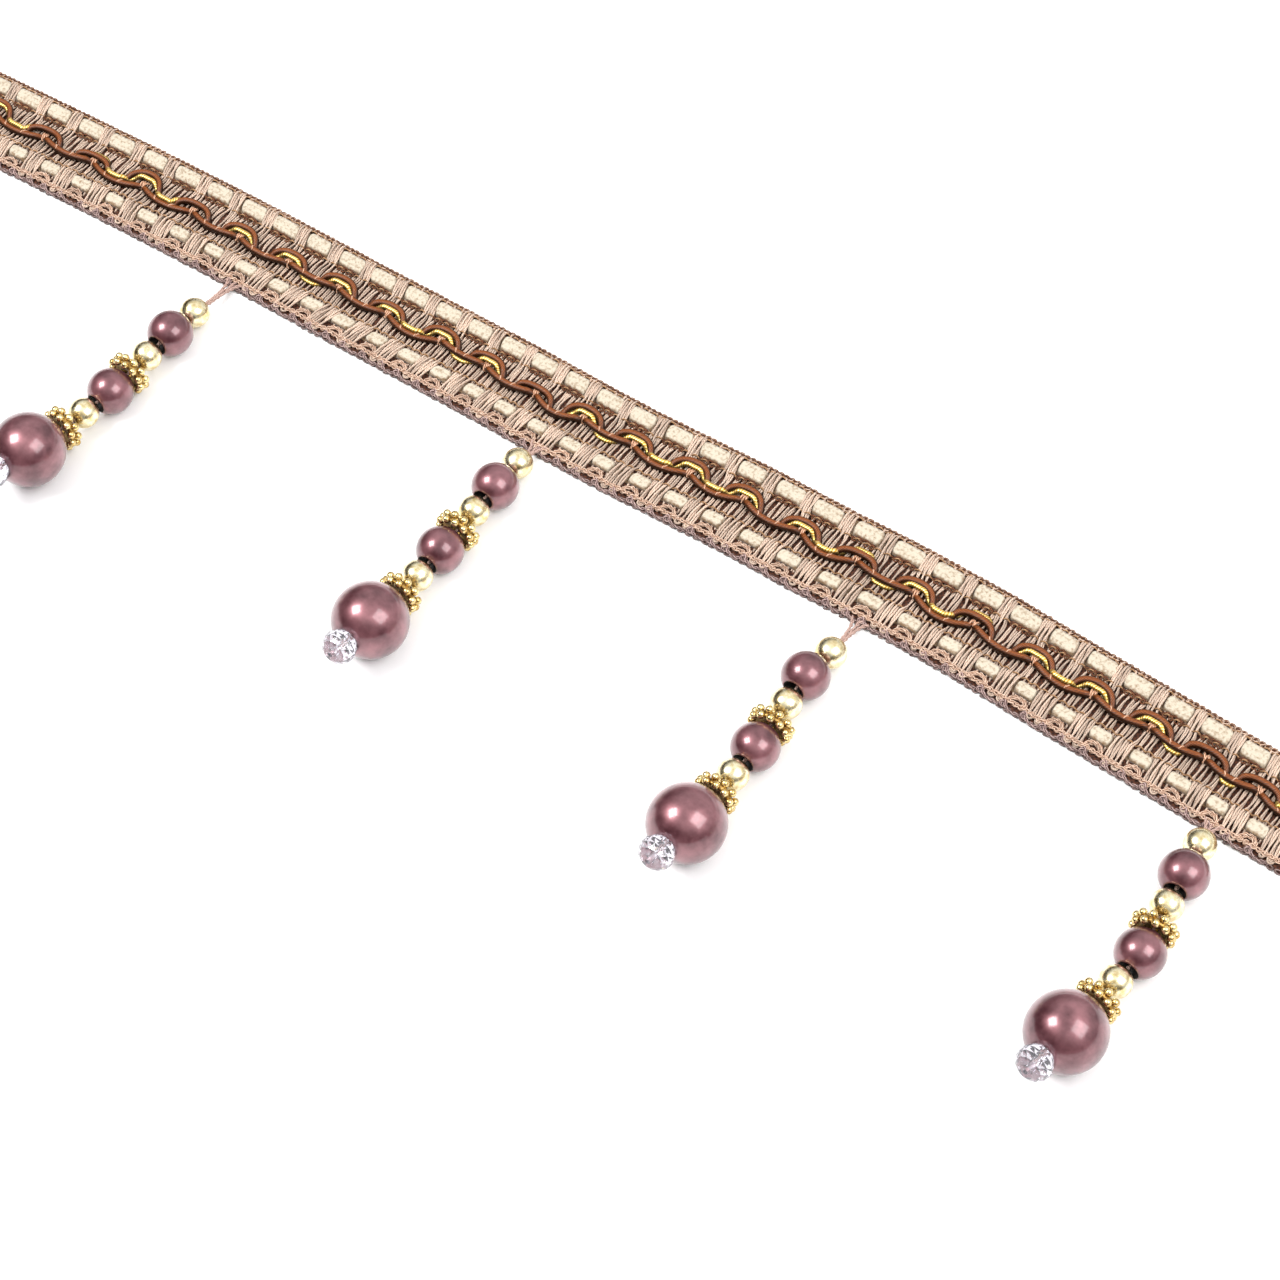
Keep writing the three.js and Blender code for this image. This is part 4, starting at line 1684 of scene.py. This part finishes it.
def faceted_crystal(name: str) -> Piece:
    """Cuts the clear end bead: rows of small three-sided facets from hole to hole.

    Args:
        name: The piece's name.

    Returns:
        The crystal with flat faces, its upper hole facing along Y.
    """
    sides = 12
    rows = [(1.3, 3.1, 0.0), (2.4, 2.5, 0.5), (3.2, 1.5, 0.0), (3.7, 0.2, 0.5), (3.55, -1.0, 0.0),
            (2.8, -2.2, 0.5), (1.6, -3.0, 0.0), (0.55, -3.1, 0.5), (0.55, 3.1, 0.5)]
    points = [(r * math.cos(TURN * (s + shift) / sides), y, r * math.sin(TURN * (s + shift) / sides))
              for r, y, shift in rows for s in range(sides)]
    faces = []
    for row, (_, _, shift) in enumerate(rows):
        following = (row + 1) % len(rows)
        lead = 1 if rows[following][2] < shift else 0
        for s in range(sides):
            t = (s + 1) % sides
            a, b = row * sides + s, row * sides + t
            c, d = following * sides + (s + lead) % sides, following * sides + (t + lead) % sides
            faces += [(a, c, b), (b, c, d)]
    piece = mesh_object(name, points, faces)
    piece.data.materials.append(GLASS.material())
    outward(piece)
    return piece


def smooth_route(points: list[Vector], steps: int) -> list[Vector]:
    """Rounds a route through its points.

    Args:
        points: The places that it passes through.
        steps: How many steps lead from one to the next.

    Returns:
        The points of a curve that passes through them all.
    """
    route = []
    ends = [2 * points[0] - points[1], *points, 2 * points[-1] - points[-2]]
    for a, b, c, d in zip(ends, ends[1:], ends[2:], ends[3:]):
        for i in range(steps):
            t = i / steps
            route.append(0.5 * ((2 * b) + (c - a) * t + (2 * a - 5 * b + 4 * c - d) * t**2
                                + (3 * b - a - 3 * c + d) * t**3))
    return [*route, points[-1]]


def joined(piece: Piece, other: Piece) -> Piece:
    """Joins a second mesh into the first, each with its own finish.

    Args:
        piece: The mesh that keeps its name.
        other: The mesh that goes into it; its object is deleted.

    Returns:
        The first piece.
    """
    shape = bmesh.new()
    shape.from_mesh(piece.data)
    own = len(shape.faces)
    shape.from_mesh(other.data)
    shape.faces.ensure_lookup_table()
    for face in shape.faces[own:]:
        face.material_index = len(piece.data.materials)
    piece.data.materials.append(other.data.materials[-1])
    shape.to_mesh(piece.data)
    shape.free()
    drop_object(other)
    piece.data.shade_smooth()
    return piece


# The studio


@dataclass
class Studio:
    """A white surface, soft boxes and the camera at the angle of the photograph."""

    azimuth: float = 43.34
    elevation: float = 55.0
    roll: float = -8.36
    lens: float = 100.32
    distance: float = 718.55
    target: tuple[float, float, float] = (41.78, -1.11, 0.8)
    glow_way: tuple[float, float, float] = (0.25, 0.33, 0.91)  # towards the brightest of the room
    # How bright the room is, from its dark front to its bright diffuser
    glow: ClassVar[Table] = [(0.18, 0.01), (0.42, 0.34), (0.6, 0.8), (0.85, 1.0)]

    def build(self) -> None:
        """Sets up the surface, the lights and the camera."""
        self.floor()
        self.camera()
        self.lights()

    def axes(self) -> Matrix:
        """Gives the camera's right, up and back directions as the columns of a matrix."""
        turn, lift = math.radians(self.azimuth), math.radians(self.elevation)
        level_part = math.cos(lift)
        back = Vector((math.sin(turn) * level_part, -math.cos(turn) * level_part, math.sin(lift)))
        right = Vector((math.cos(turn), math.sin(turn), 0.0))
        level = Matrix((right, back.cross(right), back)).transposed()
        return Matrix.Rotation(math.radians(self.roll), 3, back) @ level

    def camera(self) -> None:
        """Places the camera."""
        data = bpy.data.cameras.new("camera")
        data.lens = self.lens
        data.sensor_width = 36.0
        data.clip_end = 10.0
        camera = bpy.data.objects.new("camera", data)
        axes = self.axes()
        place = (Vector(self.target) + axes.col[2] * self.distance) * MM
        camera.matrix_world = Matrix.Translation(place) @ axes.to_4x4()
        bpy.context.scene.collection.objects.link(camera)
        bpy.context.scene.camera = camera

    def floor(self) -> None:
        """Lays the white surface."""
        reach = 3000.0
        floor = mesh_object("floor", [(-reach, -reach, 0), (reach, -reach, 0), (reach, reach, 0),
                                      (-reach, reach, 0)], [(0, 1, 2, 3)])
        floor.data.materials.append(PAPER.material())

    def lights(self) -> None:
        """Hangs the soft boxes, each where the pearls mirror it, and dims the room."""
        axes, middle = self.axes(), Vector(self.target) * MM
        for name, way, distance, size, watts in (
            ("key_box", (-0.615, 0.470, 0.634), 1.5, 0.6, 20.0),
            ("second_box", (0.518, 0.173, 0.838), 1.5, 0.95, 17.0),
        ):
            data = bpy.data.lights.new(name, "AREA")
            data.shape = "SQUARE"
            data.size = size
            data.energy = watts
            light = bpy.data.objects.new(name, data)
            direction = (axes @ Vector(way)).normalized()
            light.location = middle + direction * distance
            light.rotation_euler = direction.to_track_quat("Z", "Y").to_euler()
            bpy.context.scene.collection.objects.link(light)
        bpy.context.scene.world = self.room()
        bpy.context.scene.view_settings.view_transform = "Standard"

    def room(self) -> bpy.types.World:
        """Makes the room's light: a bright diffuser above and behind that fades to a dark front."""
        world = bpy.data.worlds.new("room")
        world.use_nodes = True
        tree = world.node_tree
        place = add_node(tree, "ShaderNodeTexCoord").outputs["Generated"]
        way = add_node(tree, "ShaderNodeVectorMath", {0: place, 1: self.glow_way},
                       operation="DOT_PRODUCT")
        ramp = add_node(tree, "ShaderNodeValToRGB", {0: way.outputs["Value"]},
                        [(place, (light, light, light, 1.0)) for place, light in self.glow])
        set_inputs(tree, tree.nodes["Background"], {"Strength": 1.15, "Color": ramp})
        return world


def main() -> None:
    """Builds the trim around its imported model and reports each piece."""
    logging.basicConfig(level=logging.INFO, format="%(name)s: %(message)s")
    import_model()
    Studio().build()
    line, yarn, loops = BraidLine(), YarnRecipe("twisted_yarn"), LoopRowRecipe("loop_row")
    granules = GranuleRecipe("granules")
    assemblies = [Braid(line, yarn, loops), WavyCords(line, yarn)]
    assemblies += [Drop(number, yarn, granules) for number in (1, 2, 3, 4)]
    total = 0
    for assembly in assemblies:
        for piece in assembly.build():
            piece.data.calc_loop_triangles()
            triangles = len(piece.data.loop_triangles)
            total += triangles
            log.info("%s: %d triangles", piece.name, triangles)
    log.info("all pieces: %d triangles", total)


if __name__ == "__main__":
    main()
